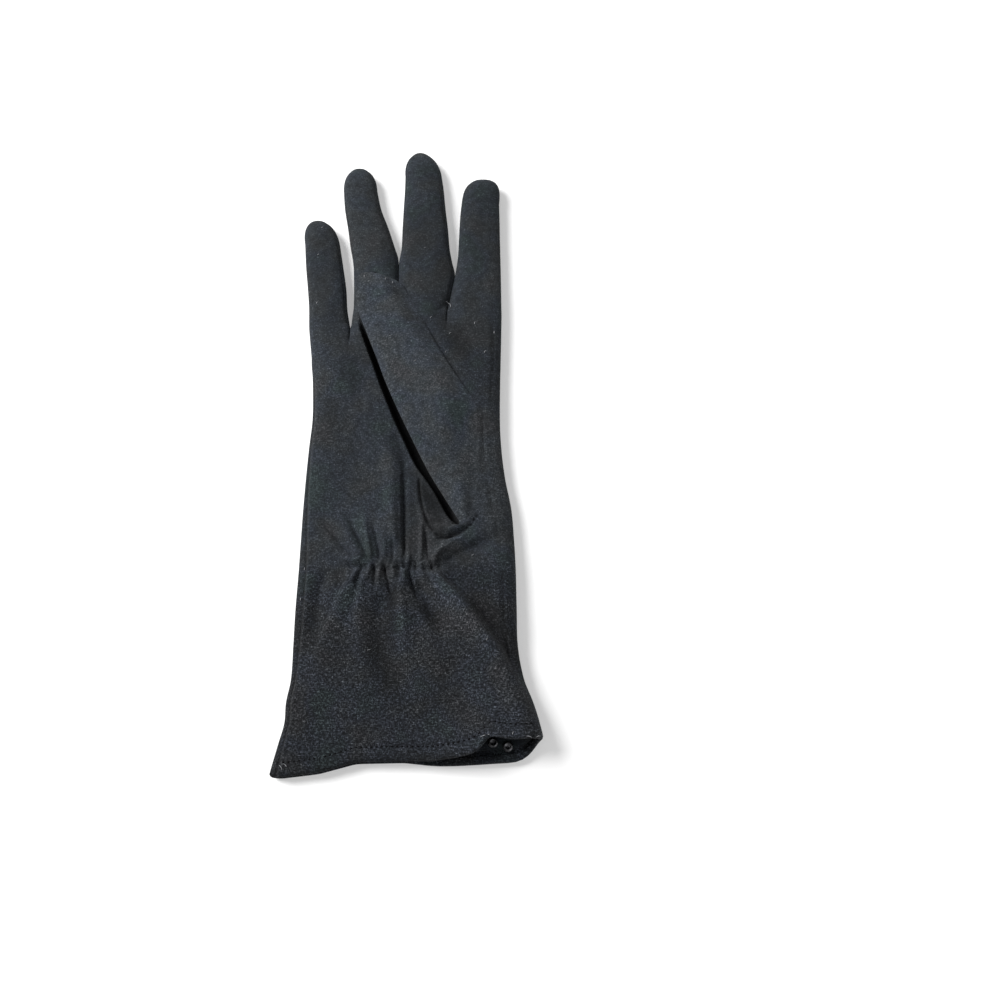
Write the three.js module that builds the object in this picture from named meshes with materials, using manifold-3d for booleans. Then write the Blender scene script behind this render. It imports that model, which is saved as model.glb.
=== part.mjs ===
// A black knitted dress glove for a right hand, lying on its back with the thumb folded over the palm.
// Millimetres. +X points to the thumb side, +Y to the fingertips and +Z up out of the palm.
// Z is 0 on the surface that the glove lies on, and the origin is below the middle of its outline.
import * as THREE from "three";
import { mergeVertices } from "three/addons/utils/BufferGeometryUtils.js";
import Module from "manifold-3d";

const wasm = await Module();
wasm.setup();

// Cloth and clearances.
const WALL = 1.2; // one layer of the knit
const HEM_WALL = 1.0; // the turned-in layer at the cuff's mouth
const GAP = 0.3; // between pieces that are sewn to each other
const SIT = 0.6; // how far the rounded underside is pressed flat
const FAR = 200; // past everything, for cutters
const BESIDE = 70; // past the sides

// The hand's tube.
const HAND_HIGH = 8.6; // two layers and the hollow between them
const SEAM_HIGH = 4.3; // the side seams, halfway up
const EDGE_ROUND = 9; // how far in from a side the tube is still rounding
const ROUND_POWER = 2.2; // 2 is a circular rounding, more is boxier
const FOURCHETTE_HALF = 2; // half the height of the strip between two fingers
const FOURCHETTE_POINT = 12; // how far below the crotch the strip's two legs meet
const FINGER_STEP = 18; // between the sections of a finger
const THUMB_STEP = 12; // between the sections of the thumb
const TIP_STEPS = [0.45, 0.75, 0.93]; // of the way to a tip, where it is rounding

// The elastic gather across the palm side of the wrist.
const GATHER = { x0: -27.3, x1: 12, y: -60.5, sag: 1.6, puckers: 8, pucker: 0.55, valley: 0.7, grip: 4 };
const GATHER_REACH = { fingers: 9, cuff: 15 }; // how far the puckers run on each side of it
const GATHER_FINE = { fingers: 15, cuff: 18 }; // how far the sections stay close together

// The cuff's hem and the two studs in its back.
const HEM_WIDE = 10;
const STUD = { x: 36.2, y: -131.4, apart: 6, turn: -0.25, cap: 2.1, shank: 0.75, hole: 1.1 };
const STUD_CAP_HIGH = 1.2;
const STUD_BACK_HIGH = 0.9;
const LIFT = { high: 2.2, reach: 24, power: 6 }; // the caps hold the back of the cuff off the surface

const TITLES = {
  hand: ["y", "left", "right", "highLeft", "highMid", "highRight", "seamLeft", "seamRight"],
  finger: ["y", "left", "right"],
  thumb: ["y", "left", "right", "low", "highLeft", "highMid", "highRight"],
  fold: ["x0", "y0", "x1", "y1", "wide", "high"],
  hem: ["x", "back", "palm"],
};

const table = (titles, rows) => rows.map((row) => Object.fromEntries(titles.map((name, i) => [name, row[i]])));

// The hand from past the cuff's mouth to past the knuckles: its sides and the height of its palm side.
const HAND = table(TITLES.hand, [
  [-152, -54.5, 54.5, 6.2, 7.0, 16.2, 3.1, 7.6],
  [-142, -53.0, 54.0, 6.2, 7.0, 16.2, 3.1, 7.6],
  [-128, -49.8, 52.9, 6.6, 7.8, 15.8, 3.3, 7.2],
  [-118, -48.5, 50.0, 7.2, 8.6, 14.8, 3.6, 6.6],
  [-106, -47.7, 45.6, 7.8, 9.4, 13.2, 3.9, 5.8],
  [-92, -47.4, 43.2, 8.4, 10.0, 11.8, 4.2, 5.0],
  [-76, -47.2, 42.8, 8.6, 10.2, 11.0, 4.3, 4.6],
  [-60, -46.8, 42.5, 8.6, 10.0, 10.4, 4.3, 4.4],
  [-46, -46.7, 41.8, 8.6, 9.4, 9.8, 4.3, 4.3],
  [-34, -46.6, 40.6, 8.6, 8.8, 9.2, 4.3, 4.3],
  [-20, -46.1, 37.7, 8.6, 8.6, 8.8, 4.3, 4.3],
  [-6, -45.5, 36.0, 8.6, 8.6, 8.6, 4.3, 4.3],
  [8, -44.8, 35.6, 8.6, 8.6, 8.6, 4.3, 4.3],
  [28, -45.9, 36.0, 8.6, 8.6, 8.6, 4.3, 4.3],
  [44, -47.5, 36.4, 8.6, 8.6, 8.6, 4.3, 4.3],
  [66, -48.6, 36.6, 8.6, 8.6, 8.6, 4.3, 4.3],
]);

// Each finger from inside the palm to where its tip starts to round.
const FINGERS = {
  little: {
    tip: [-47.4, 106.9],
    power: 2.2,
    rows: table(TITLES.finger, [
      [36, -46.4, -30.2],
      [49, -48.2, -30.0],
      [52, -48.4, -30.7],
      [61, -48.9, -32.4],
      [71, -50.0, -33.3],
      [82, -51.4, -35.2],
      [94, -52.6, -37.3],
    ]),
  },
  ring: {
    tip: [-29.6, 135.2],
    power: 2.2,
    rows: table(TITLES.finger, [
      [36, -30.0, -9.4],
      [49, -30.4, -9.2],
      [52, -29.9, -9.2],
      [57, -29.6, -9.2],
      [62, -29.2, -10.1],
      [81, -30.1, -10.5],
      [92, -32.0, -11.9],
      [103, -33.8, -15.4],
      [113, -35.6, -19.0],
      [123, -36.6, -21.2],
    ]),
  },
  middle: {
    tip: [-2.0, 144.2],
    power: 2.2,
    rows: table(TITLES.finger, [
      [36, -9.6, 12.4],
      [57, -9.8, 12.4],
      [62, -9.3, 12.2],
      [78, -9.6, 15.3],
      [85, -9.2, 13.9],
      [92, -8.7, 12.7],
      [103, -8.5, 11.7],
      [113, -8.4, 10.6],
      [124, -8.2, 9.5],
      [131, -8.2, 8.6],
    ]),
  },
  index: {
    tip: [28.0, 129.2],
    power: 2.6,
    rows: table(TITLES.finger, [
      [36, 12.0, 35.9],
      [57, 11.8, 36.2],
      [62, 12.8, 36.2],
      [78, 15.9, 36.1],
      [87, 16.9, 36.0],
      [97, 17.2, 36.0],
      [108, 17.6, 36.0],
      [116, 18.2, 35.8],
    ]),
  },
};

// Where two fingers part, from the little finger's side to the index finger's.
const CROTCHES = [
  { pair: ["little", "ring"], name: "fourchette_ring_little", x: -30.2, y: 50 },
  { pair: ["ring", "middle"], name: "fourchette_middle_ring", x: -9.3, y: 59 },
  { pair: ["middle", "index"], name: "fourchette_index_middle", x: 12.2, y: 59 },
];

// Below the crotches, where the palm and the back are cut from their fingers.
const FINGERS_FROM = 40;

// The line across the knuckles that the fingers grow out of.
const KNUCKLES = [[-70, 46], [-50, 47], [-30, 49.5], [-9, 58], [12, 58.5], [38, 57], [70, 57]];

// The thumb, from the foot of its U-shaped seam to where its tip starts to round. Up to y -12 its
// lower side is inside the palm's hollow, and past y 4 it lies on the palm.
const THUMB_TIP = [-19.0, 75.4];
const THUMB_FOOT = [15.0, -46.0];
const THUMB = table(TITLES.thumb, [
  [-41, 7.9, 24.0, 4.0, 10.4, 11.2, 10.8],
  [-32, 5.4, 26.6, 4.0, 11.0, 13.4, 12.6],
  [-20, 3.0, 27.7, 4.0, 12.0, 15.6, 14.6],
  [-12, 1.6, 27.9, 4.6, 13.4, 16.6, 15.4],
  [-4, 0.4, 27.9, 8.2, 15.4, 17.2, 15.8],
  [4, -3.0, 27.6, 9.0, 16.4, 17.4, 16.2],
  [13, -7.2, 25.2, 9.0, 16.8, 17.6, 16.6],
  [22, -11.8, 19.6, 9.0, 17.0, 17.6, 17.0],
  [32, -16.4, 14.2, 9.0, 17.2, 17.6, 17.2],
  [44, -21.8, 8.0, 9.0, 17.2, 17.6, 17.2],
  [56, -26.6, 1.8, 9.0, 17.2, 17.4, 17.0],
  [64, -27.6, -4.0, 9.0, 17.0, 17.2, 16.8],
]);

// Main folds of the palm side, each along a straight line: a height below 0 is a valley.
const FOLDS = table(TITLES.fold, [
  [-4.0, -18, -3.6, -58, 2.0, -0.9],
  [-7.5, -18, -7.5, -56, 3.0, 0.5],
  [14.5, -47, 33.0, -55, 5.0, -1.2],
  [16.0, -57, 5.0, -50, 3.0, 0.5],
  [-1.4, -64, 9.0, -84, 2.6, -0.9],
  [-10.6, -64, -10.2, -106, 5.0, -0.8],
  [-24.5, -62, -38.0, -92, 5.0, 0.6],
  [15.0, -66, 30.0, -84, 5.0, -1.0],
  [28.0, -82, 38.0, -92, 6.0, -1.2],
  [36.0, -90, 45.0, -107, 5.0, -1.5],
  [45.0, -103, 51.0, -128, 4.0, -1.4],
]);

// The cuff's lower edge: the back layer's and the palm layer's, which draws back over the mouth.
const HEM_EDGE = table(TITLES.hem, [
  [-70, -141.0, -141.0],
  [-52.9, -142.0, -142.0],
  [-48.1, -143.9, -143.9],
  [-34.2, -142.0, -142.0],
  [-20.3, -138.3, -138.3],
  [-1.5, -137.8, -137.8],
  [9, -139.0, -137.5],
  [19, -139.2, -135.6],
  [27, -138.8, -132.6],
  [36, -138.1, -130.2],
  [45.4, -135.8, -129.8],
  [52.9, -128.6, -128.6],
  [70, -126.0, -126.0],
]);

// Numbers and curves.

const mix = (a, b, t) => a + (b - a) * t;
const clamp = (t) => Math.min(Math.max(t, 0), 1);
const ease = (t) => clamp(t) ** 2 * (3 - 2 * clamp(t));
const bell = (t) => Math.exp(-t * t);

// One column of a table at y, along a smooth curve through its rows.
function column(rows, name, y) {
  const below = rows.findLastIndex((row) => row.y <= y);
  const i = Math.min(Math.max(below, 0), rows.length - 2);
  const at = (k) => rows[Math.min(Math.max(k, 0), rows.length - 1)];
  const slope = (k) => (at(k + 1)[name] - at(k - 1)[name]) / (at(k + 1).y - at(k - 1).y);
  const span = at(i + 1).y - at(i).y;
  const t = clamp((y - at(i).y) / span);
  const [a, b] = [at(i)[name], at(i + 1)[name]];
  const bend = t * (1 - t) * ((1 - t) * (slope(i) * span - (b - a)) - t * (slope(i + 1) * span - (b - a)));
  return mix(a, b, t) + bend;
}

// Height over the side seam, from 0 at a side to 1 where the rounding ends.
const rounding = (inwards, reach) => (1 - (1 - clamp(inwards / reach)) ** ROUND_POWER) ** (1 / ROUND_POWER);

// The height of a tube's palm side at the fraction t across it, from three heights.
function heightAcross(row, t) {
  const spread = 0.35;
  const low = mix(row.highLeft, row.highMid, ease((t - 0.5 + spread) / spread));
  return mix(low, row.highRight, ease((t - 0.5) / spread));
}

// How far the palm side rises or sinks from its plain height, from the folds' table.
function foldRelief(x, y) {
  return FOLDS.reduce((sum, fold) => {
    const along = new THREE.Vector2(fold.x1 - fold.x0, fold.y1 - fold.y0);
    const length = along.length();
    along.normalize();
    const from = new THREE.Vector2(x - fold.x0, y - fold.y0);
    const s = from.dot(along) / length;
    const ends = ease(s / 0.3) * ease((1 - s) / 0.3);
    return sum + fold.high * ends * bell(from.cross(along) / fold.wide);
  }, 0);
}

// The gather's line sags a little between its ends.
const gatherLine = (u) => GATHER.y - GATHER.sag * 4 * u * (1 - u);

// Puckers that are highest at the elastic and run out on both sides of it, and the valley that it pulls.
function gatherRelief(x, y) {
  const u = (x - GATHER.x0) / (GATHER.x1 - GATHER.x0);
  const inside = ease((u + 0.06) / 0.12) * ease((1.06 - u) / 0.12);
  const away = y - gatherLine(clamp(u));
  const reach = away > 0 ? GATHER_REACH.fingers : GATHER_REACH.cuff;
  const wave = Math.cos(2 * Math.PI * GATHER.puckers * u);
  return inside * (GATHER.pucker * wave * bell(away / reach) - GATHER.valley * bell(away / GATHER.grip));
}

// The hollow under the gather is smooth, and clears its deepest point.
function hollowRelief(x, y) {
  const u = (x - GATHER.x0) / (GATHER.x1 - GATHER.x0);
  const inside = ease((u + 0.2) / 0.2) * ease((1.2 - u) / 0.2);
  const deep = (GATHER.pucker + GATHER.valley) * bell((y - GATHER.y) / (2 * GATHER_REACH.fingers));
  return foldRelief(x, y) - inside * deep;
}

// The back of the cuff is held up around the studs.
const backLift = (x, y) => {
  const away = Math.hypot(x - STUD.x, y - STUD.y) / LIFT.reach;
  return LIFT.high * Math.exp(-(away ** LIFT.power));
};

const flat = () => 0;

// Sections and solids.

// Fractions across a tube between its rounded sides: even, or crowded where the gather is.
const evenly = (count) => Array.from({ length: count - 1 }, (_, i) => (i + 1) / count);
function crowded() {
  const [from, to] = [0.17, 0.68];
  const fine = GATHER.puckers * 3;
  const middle = Array.from({ length: fine + 1 }, (_, i) => mix(from, to, i / fine));
  return [from / 2, ...middle, mix(to, 1, 0.3), mix(to, 1, 0.65)];
}

// One closed ring of a tube at row.y: over the palm side from left to right, then back underneath.
function section(row, shape) {
  const { inset = 0, edge = 4, top = [], bottom = [], relief = flat, lift = flat } = shape;
  const [left, right] = [row.left + inset, row.right - inset];
  const reach = Math.min(EDGE_ROUND, (right - left) / 2);
  const steps = Array.from({ length: edge + 1 }, (_, k) => reach * (1 - Math.cos((k / edge) * (Math.PI / 2))));
  const inner = right - left - 2 * reach;
  const across = (list) => {
    const far = steps.map((d) => right - left - d).reverse();
    return [...steps, ...list.map((t) => reach + t * inner), ...far];
  };
  const place = (d, upper) => {
    const x = left + d;
    const t = d / (right - left);
    const side = mix(row.seamLeft, row.seamRight, t);
    const round = rounding(Math.min(d, right - left - d), reach);
    const outer = upper ? heightAcross(row, t) - inset + relief(x, row.y) : row.low + inset + lift(x, row.y);
    return new THREE.Vector3(x, row.y, mix(side, outer, round));
  };
  const over = across(top).map((d) => place(d, true));
  const under = across(bottom).slice(1, -1).map((d) => place(d, false));
  return [...over, ...under.reverse()];
}

// Closes rings into a solid, with a point or the ring's own middle at each end.
function loft(rings, { start, end } = {}) {
  const count = rings[0].length;
  const middle = (ring) => ring.reduce((sum, p) => sum.add(p), new THREE.Vector3()).divideScalar(count);
  const points = [...rings.flat(), start ?? middle(rings[0]), end ?? middle(rings.at(-1))];
  const [first, last] = [points.length - 2, points.length - 1];
  const index = [];
  rings.slice(1).forEach((_, i) => {
    for (let j = 0; j < count; j += 1) {
      const [a, b] = [i * count + j, i * count + ((j + 1) % count)];
      index.push(a, b, b + count, a, b + count, a + count);
    }
  });
  const top = (rings.length - 1) * count;
  for (let j = 0; j < count; j += 1) {
    const next = (j + 1) % count;
    index.push(first, next, j, last, top + j, top + next);
  }
  const geometry = new THREE.BufferGeometry().setFromPoints(points);
  geometry.setIndex(index);
  return solid(geometry);
}

// A closed geometry as a solid for joining and cutting.
function solid(geometry) {
  geometry.deleteAttribute("normal");
  geometry.deleteAttribute("uv");
  const merged = mergeVertices(geometry, 1e-5);
  const corners = merged.index.array;
  const kept = [];
  for (let i = 0; i < corners.length; i += 3) {
    const [a, b, c] = corners.slice(i, i + 3);
    if (a !== b && b !== c && c !== a) kept.push(a, b, c);
  }
  const mesh = new wasm.Mesh({
    numProp: 3,
    vertProperties: new Float32Array(merged.attributes.position.array),
    triVerts: new Uint32Array(kept),
  });
  return new wasm.Manifold(mesh);
}

// An upright prism over a plan outline.
function prism(outline, low, high) {
  const shape = new THREE.Shape(outline.map(([x, y]) => new THREE.Vector2(x, y)));
  const geometry = new THREE.ExtrudeGeometry(shape, { depth: high - low, bevelEnabled: false });
  geometry.translate(0, 0, low);
  return solid(geometry);
}

// Rows of a table at the given places along y, with the columns that the table leaves out.
function rowsAt(rows, places, rest = {}) {
  return places.map((y) => {
    const names = Object.keys(rows[0]).filter((name) => name !== "y");
    return { ...rest, ...Object.fromEntries(names.map((name) => [name, column(rows, name, y)])), y };
  });
}

// Places from low to high, a step apart or a little less.
function places(low, high, step) {
  const count = Math.ceil((high - low) / step);
  return Array.from({ length: count + 1 }, (_, i) => mix(low, high, i / count));
}

// A row shrunk around its own middle by the superellipse that rounds a tip, u of the way to the tip.
function tipRow(row, tip, u, power) {
  const keep = (1 - u ** power) ** (1 / power);
  const middle = mix((row.left + row.right) / 2, tip[0], u);
  const half = ((row.right - row.left) / 2) * keep;
  const side = (row.seamLeft + row.seamRight) / 2;
  const near = (z) => mix(side, z, keep);
  return {
    y: mix(row.y, tip[1], u),
    left: middle - half,
    right: middle + half,
    low: near(row.low),
    highLeft: near(row.highLeft),
    highMid: near(row.highMid),
    highRight: near(row.highRight),
    seamLeft: side,
    seamRight: side,
  };
}

const SLEEVE = { low: -SIT, highLeft: HAND_HIGH, highMid: HAND_HIGH, highRight: HAND_HIGH };
const LEVEL = { seamLeft: SEAM_HIGH, seamRight: SEAM_HIGH };

// A finger's tube, outside when inset is 0. Its tip draws back by the inset too.
function fingerTube({ rows, tip, power }, inset) {
  const along = rowsAt(rows, places(rows[0].y, rows.at(-1).y, FINGER_STEP), { ...SLEEVE, ...LEVEL });
  const end = [tip[0], tip[1] - inset];
  const rounded = TIP_STEPS.map((u) => tipRow(along.at(-1), end, u, power));
  const edge = inset ? 3 : 4;
  const rings = [...along, ...rounded].map((row) => section(row, { edge, inset: shrink(row, inset) }));
  return loft(rings, { end: new THREE.Vector3(end[0], end[1], SEAM_HIGH) });
}

// Near a tip the rows are narrow, so the inset never takes more than most of a row's half width or height.
function shrink(row, inset) {
  const room = Math.min((row.right - row.left) / 2, (row.highMid - row.low) / 2);
  return Math.min(inset, room * 0.6);
}

// The hand's tube between two places. The cuff's mouth and the knuckles are cut afterwards.
function handTube(from, to, shape) {
  const fine = places(GATHER.y - GATHER_FINE.cuff, GATHER.y + GATHER_FINE.fingers, shape.fine);
  const coarse = (low, high) => (high - low > 1 ? places(low, high, shape.coarse) : []);
  const all = [...coarse(from, fine[0]).slice(0, -1), ...fine, ...coarse(fine.at(-1), to).slice(1)];
  const stations = all.filter((y) => y >= from && y <= to);
  const rings = rowsAt(HAND, stations, { low: -SIT }).map((row) => section(row, shape));
  return loft(rings);
}

// The thumb's tube, with a positive inset for its hollow and a negative one for the room it needs.
function thumbTube(inset) {
  const along = rowsAt(THUMB, places(THUMB[0].y, THUMB.at(-1).y, THUMB_STEP));
  along.forEach((row) => {
    row.seamLeft = (row.low + row.highLeft) / 2;
    row.seamRight = (row.low + row.highRight) / 2;
  });
  const [foot, tip] = [THUMB_FOOT, THUMB_TIP].map(([x, y], i) => [x, y + (i ? -inset : inset)]);
  const heel = TIP_STEPS.map((u) => tipRow(along[0], foot, u, 2)).reverse();
  const rounded = TIP_STEPS.map((u) => tipRow(along.at(-1), tip, u, 2.4));
  const edge = inset > 0 ? 3 : 4;
  const rings = [...heel, ...along, ...rounded].map((row) => section(row, { edge, inset: shrink(row, inset) }));
  const at = ([x, y], row) => new THREE.Vector3(x, y, (row.seamLeft + row.seamRight) / 2);
  return loft(rings, { start: at(foot, along[0]), end: at(tip, along.at(-1)) });
}

// The space above or below the side seams, half a gap away from them.
function seamHalf(upper) {
  const rings = rowsAt(HAND, places(HAND[0].y, HAND.at(-1).y, THUMB_STEP)).map((row) => {
    const slope = (row.seamRight - row.seamLeft) / (row.right - row.left);
    const seam = (x) => row.seamLeft + slope * (x - row.left) + (upper ? GAP / 2 : -GAP / 2);
    const [left, right] = [-BESIDE, BESIDE];
    const outer = upper ? FAR : -FAR;
    const corners = [[left, seam(left)], [left, outer], [right, outer], [right, seam(right)]];
    const ring = corners.map(([x, z]) => new THREE.Vector3(x, row.y, z));
    return upper ? ring : ring.reverse();
  });
  rings.push(rings.at(-1).map((p) => p.clone().setY(FAR)));
  return loft(rings);
}

// Everything between two lines across the glove, half a gap inside them.
const between = (low, high) => {
  const [from, to] = [low + GAP / 2, high - GAP / 2];
  return prism([[-BESIDE, from], [BESIDE, from], [BESIDE, to], [-BESIDE, to]], -FAR, FAR);
};

// Everything past the knuckles, or past the cuff's edge.
const pastKnuckles = (back) => {
  const line = KNUCKLES.map(([x, y]) => [x, y - back]);
  return prism([...line, [BESIDE, FAR], [-BESIDE, FAR]], -FAR, FAR);
};
const pastEdge = (name) => {
  const line = HEM_EDGE.map((row) => [row.x, row[name]]);
  return prism([...line.reverse(), [-BESIDE, -FAR], [BESIDE, -FAR]], -FAR, FAR);
};

// The band of the hem on one layer.
const hemBand = (name) => {
  const line = HEM_EDGE.map((row) => [row.x, row[name]]);
  return prism([...line, ...line.map(([x, y]) => [x, y + HEM_WIDE]).reverse()], -FAR, FAR);
};

// The plan of the strip between two fingers, from a point below their crotch up both middles.
function fourchettePlan({ pair, x, y }, clear) {
  const top = Math.max(...pair.map((name) => FINGERS[name].tip[1])) + 10;
  const middles = pair.map((name, i) => {
    const { rows, tip } = FINGERS[name];
    const shift = i ? -clear : clear;
    const line = rows.filter((row) => row.y > y + 8).map((row) => [(row.left + row.right) / 2 + shift, row.y]);
    return [...line, [tip[0] + shift, tip[1]], [tip[0] + shift, top]];
  });
  return [[x, y - FOURCHETTE_POINT], ...middles[1], ...middles[0].reverse()];
}

// A body pressed flat underneath at a height.
const pressed = (body, z) => body.subtract(prism([[-FAR, -FAR], [FAR, -FAR], [FAR, FAR], [-FAR, FAR]], -FAR, z));

const union = (solids) => solids.reduce((sum, next) => sum.add(next));
const without = (body, cutters) => cutters.reduce((rest, cutter) => rest.subtract(cutter), body);

// The studs' places, side by side along the hem.
const studPlaces = [-0.5, 0.5].map((k) => ({
  x: STUD.x + k * STUD.apart * Math.cos(STUD.turn),
  y: STUD.y + k * STUD.apart * Math.sin(STUD.turn),
}));

// A stud: a domed cap under the cloth, a shank through it and its clenched back inside the cuff.
function studGeometry() {
  const clothLow = LIFT.high - SIT;
  const clothHigh = clothLow + WALL + GAP + HEM_WALL;
  const dome = (radius, from, high) =>
    Array.from({ length: 4 }, (_, i) => {
      const a = (i / 3) * (Math.PI / 2);
      return new THREE.Vector2(radius * Math.sin(a), from + high * Math.cos(a));
    });
  const rim = clothLow - GAP;
  const back = clothHigh + GAP;
  const cap = dome(STUD.cap, rim - 0.3, -(STUD_CAP_HIGH - 0.3));
  const clench = dome(STUD.cap, back + 0.35, STUD_BACK_HIGH - 0.35).reverse();
  const neck = [
    new THREE.Vector2(STUD.cap, rim),
    new THREE.Vector2(STUD.shank, rim),
    new THREE.Vector2(STUD.shank, back),
    new THREE.Vector2(STUD.cap, back),
  ];
  const geometry = new THREE.LatheGeometry([...cap, ...neck, ...clench], 12);
  geometry.rotateX(Math.PI / 2);
  return geometry;
}

function studHole({ x, y }) {
  const geometry = new THREE.CylinderGeometry(STUD.hole, STUD.hole, 2 * SEAM_HIGH, 12);
  geometry.rotateX(Math.PI / 2);
  geometry.translate(x, y, SEAM_HIGH - 1);
  return solid(geometry);
}

// Materials.
const knit = new THREE.MeshStandardMaterial({ name: "black_knit", color: 0x313337, roughness: 0.95, metalness: 0 });
const metal = new THREE.MeshStandardMaterial({ name: "stud_metal", color: 0x5a5a5e, roughness: 0.35, metalness: 1 });

const glove = new THREE.Group();

function addPiece(name, body, material) {
  const { vertProperties, triVerts } = body.getMesh();
  const geometry = new THREE.BufferGeometry();
  geometry.setAttribute("position", new THREE.BufferAttribute(new Float32Array(vertProperties), 3));
  geometry.setIndex(new THREE.BufferAttribute(new Uint32Array(triVerts), 1));
  geometry.computeVertexNormals();
  const mesh = new THREE.Mesh(geometry, material);
  mesh.name = name;
  glove.add(mesh);
}

// The whole cloth tube with its fingers: the outside less the hollow, pressed flat underneath.
const ends = { from: HAND[0].y, to: HAND.at(-1).y };
const outerHand = handTube(ends.from + 4, ends.to, {
  edge: 4,
  top: crowded(),
  bottom: evenly(7),
  relief: (x, y) => foldRelief(x, y) + gatherRelief(x, y),
  lift: backLift,
  fine: 4.8,
  coarse: 16,
});
const hollowRings = { edge: 3, top: evenly(8), bottom: evenly(6), fine: 11, coarse: 16 };
const hollowShape = { ...hollowRings, relief: hollowRelief, lift: backLift };
const innerHand = handTube(ends.from, ends.to, { ...hollowShape, inset: WALL });
const fingers = Object.values(FINGERS);
const outside = union([outerHand.subtract(pastKnuckles(0)), ...fingers.map((finger) => fingerTube(finger, 0))]);
const hollow = union([innerHand.subtract(pastKnuckles(WALL)), ...fingers.map((finger) => fingerTube(finger, WALL))]);
const cloth = pressed(outside, 0).subtract(pressed(hollow, WALL));

// The strips between the fingers, and the room that each leaves in the palm and the back.
const strip = (crotch, clear, extra) => {
  const half = FOURCHETTE_HALF + extra;
  return prism(fourchettePlan(crotch, clear), SEAM_HIGH - half, SEAM_HIGH + half);
};
const stripRooms = CROTCHES.map((crotch) => strip(crotch, -0.1, GAP));

// The thumb's tube opens into the hand's hollow through a hole in the palm.
const thumb = without(thumbTube(0), [thumbTube(WALL), innerHand]);
const palm = without(cloth.intersect(seamHalf(true)), [...stripRooms, pastEdge("palm"), thumbTube(-GAP)]);
const holes = studPlaces.map(studHole);
const back = without(cloth.intersect(seamHalf(false)), [...stripRooms, pastEdge("back"), ...holes]);

// The hem's turned-in layer, inside the wall and a gap away from it.
const hemTube = (inset) => pressed(handTube(ends.from, GATHER.y - 30, { ...hollowShape, inset }), inset);
const hemRing = hemTube(WALL + GAP).subtract(hemTube(WALL + GAP + HEM_WALL));
const upperBand = hemBand("palm").intersect(seamHalf(true).translate(0, 0, -2 * GAP));
const lowerBand = hemBand("back").intersect(seamHalf(false));
const hem = without(hemRing.intersect(upperBand.add(lowerBand)), holes);

// The palm and the back in three lengths: the cuff, the hand and the fingers.
const lengths = {
  cuff: between(-FAR, GATHER.y),
  hand: between(GATHER.y, FINGERS_FROM),
  fingers: between(FINGERS_FROM, FAR),
};

addPiece("cuff_palm", palm.intersect(lengths.cuff), knit);
addPiece("palm_panel", palm.intersect(lengths.hand), knit);
addPiece("fingers_palm", palm.intersect(lengths.fingers), knit);
addPiece("cuff_back", back.intersect(lengths.cuff), knit);
addPiece("back_panel", back.intersect(lengths.hand), knit);
addPiece("fingers_back", back.intersect(lengths.fingers), knit);
CROTCHES.forEach((crotch) => addPiece(crotch.name, cloth.intersect(strip(crotch, GAP, 0)), knit));
addPiece("thumb", thumb, knit);
addPiece("cuff_hem", hem, knit);
studPlaces.forEach(({ x, y }, i) => addPiece(`stud_${i + 1}`, solid(studGeometry()).translate(x, y, 0), metal));

// The origin goes below the middle of the outline.
const box = new THREE.Box3().setFromObject(glove);
const centre = box.getCenter(new THREE.Vector3());
glove.position.set(-centre.x, -centre.y, -box.min.z);

export default glove;
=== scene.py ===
import math

import bpy
import numpy as np
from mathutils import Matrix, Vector


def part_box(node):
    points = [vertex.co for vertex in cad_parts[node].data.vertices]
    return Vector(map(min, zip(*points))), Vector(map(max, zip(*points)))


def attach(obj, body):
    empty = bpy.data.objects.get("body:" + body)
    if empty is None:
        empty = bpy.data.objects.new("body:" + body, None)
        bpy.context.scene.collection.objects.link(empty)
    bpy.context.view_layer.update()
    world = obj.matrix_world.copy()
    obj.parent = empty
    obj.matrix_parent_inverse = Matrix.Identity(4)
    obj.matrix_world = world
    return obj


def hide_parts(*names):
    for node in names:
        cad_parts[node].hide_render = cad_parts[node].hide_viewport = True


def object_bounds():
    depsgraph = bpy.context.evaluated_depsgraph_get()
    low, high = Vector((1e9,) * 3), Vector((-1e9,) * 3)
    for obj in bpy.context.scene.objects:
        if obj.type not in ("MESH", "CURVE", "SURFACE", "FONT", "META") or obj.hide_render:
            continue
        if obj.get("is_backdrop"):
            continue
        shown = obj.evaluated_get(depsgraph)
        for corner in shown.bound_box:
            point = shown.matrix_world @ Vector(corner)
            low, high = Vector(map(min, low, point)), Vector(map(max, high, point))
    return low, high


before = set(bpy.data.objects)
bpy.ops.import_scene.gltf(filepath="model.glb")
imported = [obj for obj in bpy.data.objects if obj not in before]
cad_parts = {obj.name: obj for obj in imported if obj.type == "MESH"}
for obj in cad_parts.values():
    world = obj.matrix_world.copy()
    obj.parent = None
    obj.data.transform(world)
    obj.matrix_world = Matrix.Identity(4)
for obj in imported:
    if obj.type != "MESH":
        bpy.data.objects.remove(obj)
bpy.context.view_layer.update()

# A black knitted dress glove for a right hand, lying palm up with the thumb folded over.
# The shapes are worked out in millimetres: +X to the thumb side, +Y to the fingertips, +Z out of the palm.
MM = 0.001

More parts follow.
